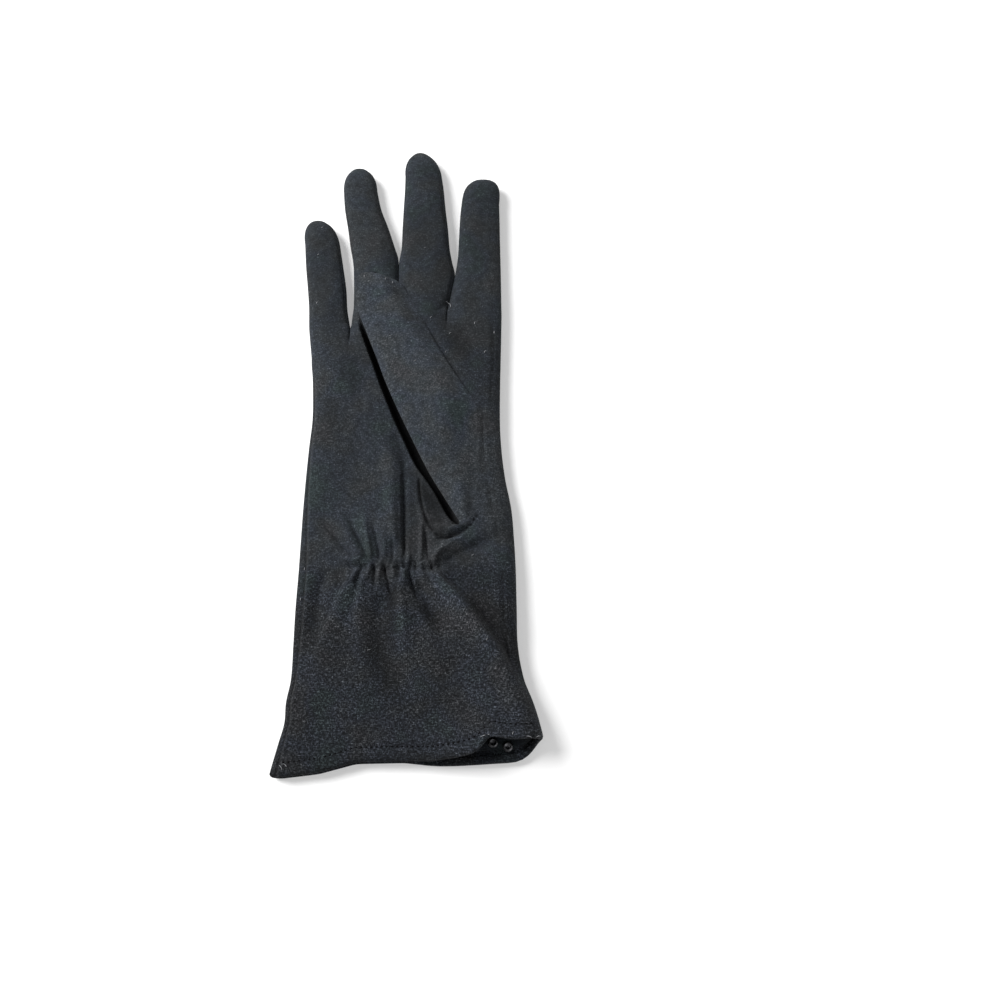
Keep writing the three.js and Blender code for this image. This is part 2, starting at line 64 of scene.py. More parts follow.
# Cloth.
CLOTH = 0.95  # one layer of the knit
HEM_FOLD = 1.1  # radius of the fold at the cuff's edge
HEM_BAND = 10.0  # how far the turned-in layer reaches
HEM_THICK = 0.7
HEM_SHADE = 0.72  # its knit is in the dark of the mouth
HEM_CORNER = 2.2  # the fold dies away this close to the cuff's two sides
HEM_STITCH = 5.6  # the hem's stitch line, from the edge
STITCH_PITCH, STITCH_LONG, STITCH_THICK = 2.0, 1.1, 0.6
STITCH_DENT = {"palm": 0.35, "back": 0.9, "wide": 0.7}  # how deep a stitch pulls each layer in, and how wide
STITCHED = {"palm": 48, "back": 42}  # how far the stitches run to both sides of the middle
SEAT_REACH = 0.8  # threads and fibres lie on the cloth found this near
FIBRE_THICK = 0.3
SEAM_DEEP = 0.3  # how far a panel's seam pulls the cloth in
SEAM_WIDE = 0.75  # and how wide that pull is
WALE, COURSE = 0.72, 0.52  # one column and one row of the knit's stitches
CLOTH_UNIT = 0.01  # the cloth's own coordinates count hundreds of millimetres
EDGE_ROUND = 9.0  # how far in from a side the tube is still rounding
ROUND_POWER = 2.2  # 2 is a circular rounding, more is boxier
STRIP_RISE = 0.465  # share of the half height that the strip between two fingers takes
STRIP_PULL = 0.7  # its seams are shallower than the side seams
SEWN_ROWS = 4  # and deepen over so many rows of the grid
PRESSED = -0.6  # the rounded underside before the table presses it flat
BACK_FINE = 0.55  # how fine the plain back's grid is beside the palm's
STUDS = ("stud_1", "stud_2")
STUD_X, STUD_Y = 36.2, -131.4  # the middle between them
LIFT = {"high": 2.2, "reach": 24.0, "power": 6}  # the studs hold the back of the cuff off the table

# The outline was drawn around its own middle. The frame's origin is under the middle of the finished box.
stud_boxes = [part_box(name) for name in STUDS]
SHIFT = np.array([
    sum(low.x + high.x for low, high in stud_boxes) / 4 / MM - STUD_X,
    sum(low.y + high.y for low, high in stud_boxes) / 4 / MM - STUD_Y,
    0.0,
])


def table(titles, rows):
    """Columns of a short table, by name."""
    return {name: np.array([row[i] for row in rows], float) for i, name in enumerate(titles.split())}


# The hand from past the cuff's mouth to past the knuckles: its sides and the height of its palm side.
HAND = table("y left right highLeft highMid highRight seamLeft seamRight", [
    (-152, -56.2, 55.2, 6.2, 7.0, 16.2, 3.1, 7.6),
    (-142, -54.2, 54.6, 6.2, 7.0, 16.2, 3.1, 7.6),
    (-131, -51.5, 53.6, 6.6, 7.8, 15.8, 3.3, 7.2),
    (-123, -49.6, 51.8, 6.9, 8.3, 15.4, 3.5, 6.9),
    (-115, -49.4, 49.4, 7.3, 8.8, 14.4, 3.7, 6.4),
    (-106, -48.0, 46.0, 7.8, 9.4, 13.2, 3.9, 5.8),
    (-92, -47.8, 43.6, 8.4, 10.0, 11.8, 4.2, 5.0),
    (-76, -47.7, 43.2, 8.6, 10.2, 11.0, 4.3, 4.6),
    (-60, -47.3, 42.9, 8.6, 10.0, 10.4, 4.3, 4.4),
    (-46, -47.2, 42.2, 8.6, 9.4, 9.8, 4.3, 4.3),
    (-34, -47.0, 41.2, 8.6, 8.8, 9.2, 4.3, 4.3),
    (-20, -46.6, 38.6, 8.6, 8.6, 8.8, 4.3, 4.3),
    (-6, -46.0, 37.0, 8.6, 8.6, 8.6, 4.3, 4.3),
    (8, -45.3, 36.4, 8.6, 8.6, 8.6, 4.3, 4.3),
    (28, -46.4, 36.6, 8.6, 8.6, 8.6, 4.3, 4.3),
    (44, -48.0, 36.9, 8.6, 8.6, 8.6, 4.3, 4.3),
    (66, -49.1, 36.9, 8.6, 8.6, 8.6, 4.3, 4.3),
])

# Each finger from inside the palm to where its tip starts to round.
FINGERS = {
    "little": {"tip": (-47.6, 106.9), "power": 2.2, "rows": table("y left right", [
        (36, -46.9, -30.2), (49, -48.6, -30.0), (52, -48.9, -30.6), (61, -49.4, -32.2),
        (71, -50.5, -33.1), (82, -51.9, -34.9), (94, -53.0, -37.0),
    ])},
    "ring": {"tip": (-29.6, 135.2), "power": 2.2, "rows": table("y left right", [
        (36, -30.0, -9.5), (49, -30.6, -9.5), (52, -30.1, -9.6), (57, -29.8, -9.6), (62, -29.4, -9.8),
        (81, -30.2, -9.8), (87, -31.0, -10.2), (92, -32.0, -11.7), (103, -33.8, -15.2), (113, -35.6, -18.8),
        (123, -36.6, -21.0),
    ])},
    "middle": {"tip": (-1.5, 144.2), "power": 1.95, "rows": table("y left right", [
        (36, -9.5, 12.3), (57, -9.6, 12.4), (62, -9.7, 12.8), (78, -9.8, 15.6), (85, -9.8, 14.3),
        (92, -8.9, 13.1), (103, -8.7, 12.1), (113, -8.5, 10.9), (124, -8.2, 9.8), (131, -8.2, 8.8),
    ])},
    "index": {"tip": (28.2, 128.8), "power": 2.9, "rows": table("y left right", [
        (36, 12.2, 36.5), (57, 12.4, 36.9), (62, 12.8, 36.8), (78, 15.6, 36.6),
        (87, 16.8, 36.4), (97, 17.2, 36.2), (108, 17.6, 36.0), (116, 18.2, 35.8),
    ])},
}
ORDER = ["little", "ring", "middle", "index"]
# How far up the glove the hand divides: at the little finger's side, the three crotches and the thumb side.
PARTING = [47.0, 50.0, 59.0, 59.0, 58.0]
STRIPS = ["ring_little", "middle_ring", "index_middle"]  # between a finger and the next
PART_OVER = 3  # shared sides part over this much of y
# A finger's inner sides start to round this far before the crotch and end this far after it.
CROTCH = {"share": 0.62, "before": 12, "after": 4}
# Where the hand passes into the cuff or the fingers: the y where it starts, and over how much.
TO_CUFF = {"soft": (-62, 30), "tone": (-58, 24), "grain": (-48, 30)}
TO_FINGERS = {"sides": (26, 14), "grain": (20, 50)}

# The grids that the panels are built on, in columns and in steps of y.
COLUMNS = [36, 44, 44, 26]  # across each finger's share
ROWS = [(-140, 0), (-110, 1.3), (-68, 1.0), (-54, 0.5), (30, 0.75), (50, 0.75)]  # y, and the step up to it
BENT = (-110, 30)  # rows outside these bend to the hem's edge or to the line where the fingers part
CROWDED = (14, 18)  # columns crowd at a finger's sides from this far before the crotch, over so much
STRIP_COLUMNS = 13  # across the strip between two fingers
FINGER_STEP, TIP_ROWS = 1.1, 14  # up each finger, and round its tip

# The palm side's height passes from the left's to the middle's and to the right's from these shares of
# the width, over so much of it.
HIGH_FROM, HIGH_OVER = (0.15, 0.5), 0.35

# The folded thumb. Its left side is the sharp fold. Its right side melts into the palm near its root,
# where melt is 1.
THUMB = table("y left right low highLeft highMid highRight seamLeft seamRight roundLeft roundRight melt", [
    (-41, 19.4, 25.8, 7.2, 9.8, 10.0, 9.4, 9.2, 8.4, 3.0, 4.0, 1.0),
    (-32, 13.7, 26.8, 5.0, 11.6, 11.8, 10.4, 10.4, 8.3, 3.5, 8.0, 1.0),
    (-20, 6.4, 27.6, 4.2, 13.0, 13.2, 11.6, 11.4, 8.2, 4.0, 14.0, 1.0),
    (-12, 2.3, 28.0, 4.2, 13.8, 14.0, 12.2, 11.8, 8.1, 4.5, 16.0, 1.0),
    (-4, -1.6, 28.0, 5.2, 14.2, 14.5, 12.8, 12.2, 8.1, 5.0, 17.0, 1.0),
    (4, -5.5, 27.4, 7.0, 14.5, 14.8, 13.2, 12.5, 8.2, 5.5, 16.5, 1.0),
    (13, -9.6, 25.4, 9.0, 14.7, 15.0, 13.8, 12.7, 8.4, 6.0, 15.0, 0.8),
    (22, -13.4, 19.9, 9.0, 14.9, 15.2, 14.4, 12.8, 8.5, 6.5, 13.0, 0.55),
    (32, -17.1, 13.7, 9.0, 15.0, 15.2, 14.8, 12.8, 8.5, 7.0, 12.0, 0.45),
    (44, -21.8, 7.0, 9.0, 15.0, 15.2, 14.8, 12.8, 8.5, 7.0, 11.0, 0.45),
    (56, -26.2, 0.8, 9.0, 15.0, 15.1, 13.8, 12.7, 8.2, 7.0, 11.0, 0.6),
    (64, -27.6, -4.4, 9.0, 14.8, 14.8, 13.0, 12.6, 8.0, 7.0, 11.0, 0.75),
])
THUMB_TIP = (-19.0, 75.4)
THUMB_FOOT = (20.5, -45.0)
THUMB_OPEN = (-45.0, -9.0)  # between these it opens into the hand
THUMB_HOLE = {"left": 5.0, "right": 7.5, "foot": 3.5}  # the palm's hole is this much inside the thumb's root
THUMB_GRID = {"foot": 9, "body": 140, "tip": 17, "across": 49}
THUMB_POWER = {"foot": 2.0, "tip": 2.8}  # of the superellipses at its ends
THUMB_END = 60.0  # above this only its tip is left
WALLS_CLEAR = 2.1  # its underside stops where the top comes nearer than its two walls are thick
# Its underside is open this far from its left side at the root, and from its right side where it melts
# into the palm. Above the last y the walls could cross.
UNDERSIDE = {"root": 6.0, "low": 7.0, "high": 2.4, "from": 16, "over": 16, "share": 0.45, "crosses": 40}
# Painted light on its right flank, which faces away from the light: how much lighter that is painted where
# it is free and where it has melted in.
FLANK_PAINTED_LIGHT = {"free": 0.8, "free_wide": 3.6, "melted": 0.3, "melted_from": 7, "melted_wide": 5}

# The deep pleat beside the thumb: the edge of the palm that it starts from.
SLIT_LIP = table("y x", [
    (-42, 17.6), (-38.7, 14.6), (-34.7, 12.2), (-27.6, 8.5), (-22.3, 5.1), (-17.8, 1.9), (-13.3, -0.8),
    (-4.1, -5.0), (5.2, -9.2), (14.5, -13.0), (24.0, -16.6), (33.7, -20.0), (43.4, -23.6), (49.3, -25.6),
    (55.3, -27.0), (62, -28.4),
])
# It sinks quickly at its wrist end and fades towards its other end. Its floor rises again under the thumb,
# at most a share of the way to the thumb's other side.
SLIT = {"deep": 6.3, "wall": 1.1, "start": 0.2, "under": 14.0, "share": 0.55, "rise": 6,
        "from": -43.0, "sink": 2, "to": 58.0, "fade": 16}

# The cuff's lower edge: the back layer's and the palm layer's, which draws back over the mouth.
HEM_EDGE = table("x back palm", [
    (-70, -143.6, -143.6), (-52.9, -143.6, -143.6), (-48.1, -144.1, -144.1), (-34.2, -142.4, -142.4),
    (-20.3, -138.5, -138.3), (-1.5, -138.1, -138.0), (9, -139.2, -138.3), (19, -139.4, -137.2),
    (25, -139.3, -135.9), (28.6, -139.1, -133.8), (30.6, -139.0, -130.6), (33, -138.8, -129.4),
    (37, -138.5, -130.2), (42, -138.1, -130.8), (46, -136.6, -130.6), (49.5, -133.8, -130.2),
    (52.9, -130.0, -130.0), (70, -127.0, -127.0),
])

# Folds of the palm side, each along a bent line through three points, from its strong end to its faded one.
# A height below 0 is a valley. Its flanks may differ: left is the width on the little finger's side.
FOLDS = table("x0 y0 xm ym x1 y1 left right high", [
    # the straight crease above the gather, with the full ridge on its left and a thin one on its right
    (-3.2, -59, -4.3, -36, -5.2, -6, 0.5, 1.5, -2.2),
    (-7.0, -54, -9.0, -33, -9.5, 4, 3.0, 3.2, 2.0),
    (3.6, -59, 3.8, -48, 3.7, -32, 0.9, 0.9, 1.3),
    (7.2, -58, 5.6, -51, 4.4, -40, 0.6, 0.7, -1.5),
    # the ridge under the thumb's seam, and the valley below it
    (9.6, -60.5, 12.8, -52.2, 28.0, -45.0, 1.6, 1.6, 1.7),
    (12.0, -58.8, 20.4, -54.2, 43.0, -43.0, 2.1, 2.8, -1.9),
    (18.0, -62.5, 26.0, -59.4, 38.0, -54.0, 2.6, 3.0, 0.8),
    (9.0, -47.6, 14.6, -47.5, 22.0, -43.6, 0.8, 0.8, -1.5),
    # the crease that leaves the gather to the thumb side, and the long light ridge beside it
    (-1.4, -60.5, 0.6, -69.0, 5.0, -77, 0.5, 0.8, -2.1),
    (1.6, -67, 9.0, -80, 17.0, -97, 2.6, 3.0, -2.6),
    (2.4, -61, 5.2, -66.4, 12.0, -76, 1.3, 1.5, 1.6),
    (5.0, -62.0, 27.0, -84.5, 54.0, -134, 6.0, 2.2, 3.0),
    (11.0, -63, 32.0, -83.5, 54.0, -128, 1.4, 5.0, -3.0),
    # folds that run down the cuff
    (-11.2, -60.5, -9.4, -67.5, -6.4, -77, 0.5, 0.7, -1.3),
    (-7.8, -69, -12.2, -90, -1.0, -120, 4.8, 5.6, -2.8),
    (-5.2, -64, -3.2, -80, 0.6, -104, 1.8, 3.4, 1.5),
    (-23.4, -61, -29.8, -77, -41.0, -108, 1.6, 5.0, 1.7),
    (-34.0, -60, -38.0, -78, -38.0, -106, 3.0, 2.4, -1.3),
    (-18.4, -61, -20.4, -71, -22.6, -90, 1.3, 2.6, 1.1),
    (-20.6, -61, -22.8, -71, -26.6, -88, 0.7, 1.0, -0.3),
    (-15.3, -60.5, -15.0, -66, -15.6, -74, 0.5, 0.8, -0.8),
    # small swellings of the cloth between the puckers
    (-25.8, -60.4, -26.2, -62.5, -27.4, -67, 0.9, 0.9, 1.1),
    (-22.5, -60.6, -23.0, -63.5, -24.8, -69, 1.0, 1.0, 1.4),
    (-17.2, -58.8, -17.2, -62.0, -18.2, -67, 0.9, 0.9, 1.3),
    (-13.3, -60.4, -13.1, -63.5, -13.4, -70, 0.9, 0.9, 1.4),
    (-8.0, -59.4, -7.4, -62.8, -6.2, -68, 0.9, 0.9, 1.5),
    (-3.2, -60.6, -2.9, -64.0, -1.4, -70, 0.8, 0.9, 1.6),
    (-1.0, -59.4, -1.2, -57.2, -1.4, -53, 0.8, 0.8, 1.3),
    (3.6, -58.2, 4.2, -61.5, 7.0, -67, 1.1, 1.1, 1.4),
    (16.0, -96, 21.0, -110, 25.0, -130, 6.0, 6.0, -0.8),
    # folds that fan up from the gather
    (-23.2, -57.5, -31.2, -48, -42.0, -35, 1.0, 1.4, -1.5),
    (-20.2, -58, -25.0, -49, -33.0, -35, 1.4, 1.4, 1.3),
    (-17.1, -58.6, -20.4, -51.7, -29.5, -33, 0.7, 0.9, -1.3),
    (-16.4, -58, -18.4, -48, -22.0, -33, 1.2, 1.2, 1.5),
    (-14.0, -59, -14.0, -52.5, -18.5, -35, 0.6, 0.8, -1.2),
    (-11.2, -58, -11.4, -50, -13.0, -35, 1.3, 1.3, 1.4),
    (-7.9, -59, -7.9, -54, -8.8, -44, 0.6, 0.7, -1.1),
    # the palm's own softness
    (-34.0, 40, -30.0, 10, -32.0, -22, 7.0, 8.0, 0.5),
    (-21.0, 20, -18.0, -2, -16.0, -30, 5.0, 7.0, 0.5),
    (-9.0, 0, -2.4, -16, 4.0, -31, 4.6, 2.0, -1.3),
    (14.6, 68, 11.0, 61, 5.0, 57, 1.2, 1.4, -1.0),
    (19.0, 52, 24.0, 38, 27.0, 22, 4.0, 4.0, -0.7),
])

# Seam lines of the palm side: round the thumb's root and beside the thumb-side edge.
SEAMS = table("x0 y0 xm ym x1 y1 deep fade", [
    (2.0, -20, 4.2, -36, 9.6, -45.8, 1.1, 0.1),
    (8.8, -45.4, 17.8, -46.9, 26.6, -37.6, 1.5, 0.06),
    (26.6, -37.8, 28.6, -24.0, 27.8, 8.0, 0.45, 0.35),
    (28.2, 16.0, 30.0, -16.0, 36.6, -56.0, 0.8, 0.2),
    (36.6, -56.0, 38.6, -92.0, 44.0, -108.0, 0.9, 0.15),
    (31.6, 62.0, 32.9, 36.0, 31.0, 8.0, 0.5, 0.2),
])
SEAM_LINE = 0.45  # half its width
SEAM_DARK = 0.5  # half the width of its shade
SEAM_ROLL = {"high": 0.3, "from": 1.3, "wide": 0.7}  # the cloth that rises beside it
# A fold starts and fades over these shares of its length, and widens from slim of its width.
FOLD = {"start": 0.12, "fade": 0.55, "slim": 0.75, "widens": 0.6}
# Where the heathered knit is broadly lighter or darker: partly its own uneven tone, partly painted shade in
# the folds, beside the slit and beside the thumb, and painted light on ridges and the swellings between the
# puckers. An oval's centre, half sizes, turn in degrees, tone.
TONE_AND_SHADE_PATCHES = table("x y wide long turn tone", [
    (-1.2, -38, 3.2, 18, -2, 0.66),
    (6.8, -31, 3.8, 10, 30, 0.26),
    (9.6, -43.5, 2.4, 5, 30, 0.62),
    (14.6, -47.3, 1.0, 6, -74, 0.42),
    (-8.5, -7, 4.0, 8, 22, 0.76),
    (-2.0, -19, 3.5, 6, 25, 0.78),
    (-9.0, -36, 3.6, 16, -3, 1.12),
    (15.5, -50.6, 1.8, 7, -62, 1.25),
    (20.2, -58.2, 4.2, 9, -70, 0.52),
    (26.0, -51.4, 2.6, 8, -62, 0.70),
    (28, -66, 4.4, 11, 88, 0.62),
    (32.0, -79.5, 4.6, 15, 38, 0.60),
    (40.5, -93, 4.0, 13, 22, 0.68),
    (21, -81.5, 3.8, 17, 38, 1.50),
    (30, -112, 9.0, 11, 20, 1.08),
    (38.5, -109, 4.5, 10, 15, 1.30),
    (7.4, -80.0, 3.2, 7, 42, 0.40),
    (12.5, -93, 3.6, 9, 18, 0.76),
    (9.4, -109, 6.4, 14, 0, 0.73),
    (-4.5, -84, 2.6, 12, 8, 1.14),
    (-7.8, -78, 2.8, 11, 0, 0.52),
    (-7.7, -73.5, 1.8, 5, 0, 0.64),
    (-12.6, -93, 6.0, 12, -4, 0.58),
    (-8, -106, 4.8, 13, 20, 0.57),
    (-25.0, -79, 7.0, 14, -22, 1.42),
    (-30, -64, 5.0, 3.6, 0, 0.74),
    (-38.5, -83, 3.6, 12, 0, 0.78),
    (-25.9, -61.6, 0.9, 2.0, 0, 1.3),
    (-22.6, -62.4, 1.0, 2.4, -14, 1.35),
    (-17.2, -60.8, 0.9, 2.2, 0, 1.3),
    (-13.3, -62.6, 0.9, 2.4, 0, 1.3),
    (-7.8, -61.8, 0.9, 2.4, 12, 1.4),
    (-3.1, -62.8, 0.9, 2.6, 10, 1.4),
    (-1.1, -57.8, 0.8, 1.8, 0, 1.45),
    (4.0, -60.6, 1.2, 2.4, 12, 1.3),
    (29.8, -126.2, 1.3, 3.0, 0, 1.3),
    (-18.5, -43, 5.0, 8, 0, 1.32),
    (-13.6, -9, 3.0, 9, 12, 1.22),
    (-37.5, 54, 5.0, 9, 0, 0.76),
    (-36, 9, 5.0, 9, 0, 0.72),
    (-29.5, 30, 5.0, 15, 12, 0.70),
    (14.5, 45, 5.0, 12, 28, 0.60),
    (9.5, 82, 4.0, 9, 0, 0.68),
    (7.5, 62, 5.0, 12, 6, 0.72),
    (-15.4, 88, 4.5, 10, 12, 0.68),
    (28, 36, 10, 28, 0, 0.68),
    (27, 96, 11, 32, 0, 0.74),
    (2, 104, 12, 36, 0, 0.76),
    (-45, 82, 9, 24, 0, 0.72),
    (-20, 104, 9, 22, 0, 1.05),
])
PALM_TONE = 1.06
CUFF_TONE = 0.86
# Painted light: the thumb's top, which lies highest, is painted this much lighter. At its tip, painted shade
# on the left and painted light on the right.
THUMB_PAINTED_LIGHT = 1.42
THUMB_TIP_SHADE_AND_LIGHT = (0.76, 1.26)  # times this on the left and the right of its tip
UNDER_TONE = 0.35  # the thumb's underside, which is in its own shade
# Painted shade: how much of its tone the knit loses in seam grooves, puckers, stitch dents, the slit and
# along the mouth's edge, where it folds into itself, or past the side seam.
PAINTED_SHADE = {"seam": 0.6, "back": 0.25, "pucker": 0.38, "stitch": 0.25, "slit": 0.88, "mouth": 0.45}
MOUTH = {"deep": 4.5, "to": 26, "fade": 10}  # the shade inside the palm layer's edge
# How clearly the paler fibres show: most on the cuff, where the knit is slack, least on the fingers.
GRAIN = {"cuff": 1.0, "palm": 0.58, "fingers": 0.4, "thumb": 0.52}
# The lip of cloth over the seam at the thumb's root, as one more fold.
LIP = table("x0 y0 xm ym x1 y1 left right high", [(8.6, -41.4, 17.0, -44.0, 26.0, -37.0, 1.2, 1.2, 2.4)])
# On the little finger's side the palm ends at a seam just inside the glove's edge. Past it the back shows.
SIDE_SEAM = table("y inset", [
    (-146, 4.0), (-128, 3.0), (-112, 2.7), (-104, 2.8), (-82, 3.9), (-60, 3.9), (-43, 3.1), (-25, 2.2),
    (0, 1.6), (40, 1.3),
])
# The step down to the back, the palm's rolled edge and the groove between them: heights and widths.
SIDE = {"step": 0.9, "step_wide": 0.8, "roll": 0.35, "roll_from": 1.2, "roll_wide": 0.9,
        "groove": 0.6, "groove_wide": 0.4, "to": 34, "fade": 14}

# The elastic gather across the wrist: where it runs, how deep it grips, and how it ends past both sides.
GATHER = {"x0": -27.3, "x1": 12.0, "y": -60.3, "sag": 0.8, "waver": 0.9, "valley": 0.6, "grip": 1.2,
          "past": 0.08, "fade": 0.14}
SWELLING = {"high": 0.9, "from": 4.2, "wide": 2.8}  # the soft rolls on both sides of the elastic
# Its puckers: each one's crease, how far that runs up and down, and how far it leans.
PUCKERS = table("x deep wide up lean_up down lean_down", [
    (-25.0, 0.7, 0.42, 2.6, -0.60, 2.4, -0.50),
    (-20.3, 1.5, 0.48, 2.6, -0.40, 3.0, -0.25),
    (-18.8, 0.6, 0.34, 1.8, -0.30, 1.6, -0.30),
    (-15.3, 1.6, 0.46, 2.2, 0.10, 3.0, 0.05),
    (-11.0, 1.9, 0.50, 2.4, -0.10, 3.6, 0.25),
    (-5.4, 1.4, 0.42, 2.4, 0.00, 2.0, 0.10),
    (-3.2, 1.2, 0.38, 3.4, -0.05, 0.6, 0.00),
    (-0.7, 1.5, 0.44, 0.8, 0.00, 3.6, 0.20),
    (1.5, 1.1, 0.38, 2.4, 0.10, 1.8, 0.30),
    (4.9, 0.6, 0.34, 1.6, 0.00, 1.4, 0.30),
    (8.2, 1.6, 0.48, 2.6, -0.05, 2.0, 0.50),
    (11.0, 0.9, 0.42, 2.2, 0.40, 2.4, 0.70),
])
# Loose fibres that cling to the knit: middle, length, direction in degrees and how much each one bows.
FIBRES = table("x y long turn bow", [
    (12.9, 62.0, 4.6, -62, 0.9), (25.0, 52.2, 1.6, 70, 0.2), (33.4, 47.8, 1.4, 85, 0.0),
    (29.5, 37.9, 1.5, 60, 0.2), (14.1, 46.7, 1.3, 40, 0.2), (-14.6, 71.6, 1.8, 80, 0.1),
    (-11.7, 70.6, 1.8, 90, 0.0), (-24.0, 72.4, 1.6, 96, 0.1), (-11.6, 42.1, 1.2, 10, 0.1),
    (-0.5, 30.0, 1.5, 20, 0.2), (12.3, 37.7, 1.2, 70, 0.1), (-44.0, -60.6, 1.3, 80, 0.1),
    (-44.9, -73.4, 1.4, 85, 0.1), (-46.0, 86.7, 1.1, 30, 0.1), (-45.2, 62.2, 1.2, 60, 0.2),
    (2.1, 90.3, 1.1, 10, 0.1), (5.6, 54.7, 1.3, 50, 0.2), (-45.0, 101.3, 1.0, 20, 0.0),
    (-16.3, -94.6, 1.3, 15, 0.1), (30.9, -91.7, 1.3, 70, 0.1), (24.9, -55.6, 1.2, 30, 0.1),
    (-49.0, -140.6, 2.6, -58, 0.4), (-47.4, -139.6, 2.0, -40, 0.3), (30.4, -129.5, 4.6, 14, 0.3),
    (41.0, -128.6, 1.4, 70, 0.1), (47.2, -130.1, 2.2, -12, 0.2), (50.8, -129.8, 2.2, 20, 0.3),
])

# Numbers and curves.


def mix(a, b, t):
    """From a at t of 0 to b at t of 1, in a straight line."""
    return a + (b - a) * t


def ease(t):
    """0 to 1 along 3 t squared less 2 t cubed, and level outside."""
    t = np.clip(t, 0, 1)
    return t * t * (3 - 2 * t)


def bell(t):
    """e to the power of minus t squared."""
    return np.exp(-t * t)


def smooth(rows, name, y):
    """One column of a table at y, along cubics that take each row's slope from the rows beside it."""
    ys, values = rows["y"], rows[name]
    slopes = np.gradient(values, ys)
    slopes[1:-1] = (values[2:] - values[:-2]) / (ys[2:] - ys[:-2])
    y = np.clip(np.asarray(y, float), ys[0], ys[-1])
    i = np.clip(np.searchsorted(ys, y, side="right") - 1, 0, len(ys) - 2)
    span = ys[i + 1] - ys[i]
    t = (y - ys[i]) / span
    rise = values[i + 1] - values[i]
    bend = (1 - t) * (slopes[i] * span - rise) - t * (slopes[i + 1] * span - rise)
    return values[i] + rise * t + t * (1 - t) * bend


def rounding(inwards, reach):
    """Height over a side seam: 0 at the side, 1 where the rounding ends, along a superellipse."""
    t = 1 - np.clip(inwards / np.maximum(reach, 1e-6), 0, 1)
    return (1 - t ** ROUND_POWER) ** (1 / ROUND_POWER)


def waves(x, y, length, seed):
    """Soft unevenness from -1 to 1: a sum of eight sine waves of about one length in seeded directions."""
    rng = np.random.default_rng(seed)
    total = 0.0
    for _ in range(8):
        angle, phase = rng.uniform(0, 2 * math.pi, 2)
        pitch = 2 * math.pi / (length * rng.uniform(0.7, 1.5))
        total = total + np.sin(pitch * (x * math.cos(angle) + y * math.sin(angle)) + phase)
    return total / 4


def bent_line(rows, i):
    """Points along the parabola through row i's first, middle and last point."""
    s = np.linspace(0, 1, 25)[:, None]
    a, m, b = (np.array([rows["x" + k][i], rows["y" + k][i]]) for k in ("0", "m", "1"))
    middle = 2 * m - (a + b) / 2
    return (1 - s) ** 2 * a + 2 * s * (1 - s) * middle + s ** 2 * b


def from_line(line, x, y):
    """Distance from a line, below 0 on its left, and how far along it the nearest point is, from 0 to 1."""
    best = np.full(np.shape(x), 1e9)
    side, along = np.zeros(np.shape(x)), np.zeros(np.shape(x))
    lengths = np.linalg.norm(np.diff(line, axis=0), axis=1)
    run = np.concatenate([[0], np.cumsum(lengths)])
    for k, length in enumerate(lengths):
        (ax, ay), (bx, by) = line[k], line[k + 1]
        ux, uy = (bx - ax) / length, (by - ay) / length
        t = np.clip((x - ax) * ux + (y - ay) * uy, 0, length)
        gap = np.hypot(x - ax - t * ux, y - ay - t * uy)
        cross = (x - ax) * uy - (y - ay) * ux
        near = gap < best
        best = np.where(near, gap, best)
        side = np.where(near, np.sign(cross), side)
        along = np.where(near, (run[k] + t) / run[-1], along)
    return best * side, along


def towards_cuff(y, what):
    """0 on the hand and 1 on the cuff, with an ease between."""
    start, over = TO_CUFF[what]
    return ease((start - y) / over)


def towards_fingers(y, what):
    """0 on the hand and 1 on the fingers, with an ease between."""
    start, over = TO_FINGERS[what]
    return ease((y - start) / over)


def fold_relief(rows, x, y):
    """Sum of the folds: a bell across each bent line, with its own width on each flank.

    A fold starts quickly, widens along its way and fades over its last half.
    """
    total = np.zeros(np.shape(x))
    for i in range(len(rows["x0"])):
        gap, along = from_line(bent_line(rows, i), x, y)
        downwards = 1 if rows["y1"][i] > rows["y0"][i] else -1
        wide = np.where(gap * downwards < 0, rows["left"][i], rows["right"][i])
        ends = ease(along / FOLD["start"]) * ease((1 - along) / FOLD["fade"])
        total += rows["high"][i] * ends * bell(gap / (wide * (FOLD["slim"] + FOLD["widens"] * along)))
    return total


def seam_lines(x, y):
    """For each seam line: the distance from it, and its depth, eased out at both ends."""
    for i in range(len(SEAMS["x0"])):
        gap, along = from_line(bent_line(SEAMS, i), x, y)
        fade = SEAMS["fade"][i]
        yield gap, SEAMS["deep"][i] * ease(along / fade) * ease((1 - along) / fade)


def seam_relief(x, y):
    """Grooves along the seam lines: a narrow dip with a faint roll of cloth on both sides of it."""
    total = np.zeros(np.shape(x))
    for gap, deep in seam_lines(x, y):
        roll = SEAM_ROLL["high"] * bell((np.abs(gap) - SEAM_ROLL["from"]) / SEAM_ROLL["wide"])
        total += deep * (roll - bell(gap / SEAM_LINE))
    return total


def gather_line(x):
    """Where the elastic runs, and how much of it there is: 1 between its ends and 0 past them."""
    u = (x - GATHER["x0"]) / (GATHER["x1"] - GATHER["x0"])
    sagging = GATHER["y"] - GATHER["sag"] * 4 * np.clip(u, 0, 1) * (1 - np.clip(u, 0, 1))
    line = sagging + GATHER["waver"] * waves(x, 0 * x, 7.5, 21)
    past, fade = GATHER["past"], GATHER["fade"]
    return line, ease((u + past) / fade) * ease((1 + past - u) / fade)


def puckers(x, y):
    """The puckers' creases, which widen and fade away from the elastic: 1 in the deepest."""
    away = y - gather_line(x)[0]
    total = np.zeros(np.shape(x))
    for i in range(len(PUCKERS["x"])):
        reach = np.where(away > 0, PUCKERS["up"][i], PUCKERS["down"][i])
        lean = np.where(away > 0, PUCKERS["lean_up"][i], PUCKERS["lean_down"][i])
        centre = PUCKERS["x"][i] + lean * np.abs(away)
        wide = PUCKERS["wide"][i] * (1 + 0.5 * np.abs(away) / reach)
        total += PUCKERS["deep"][i] * np.exp(-np.abs(away) / reach) * bell((x - centre) / wide)
    return total


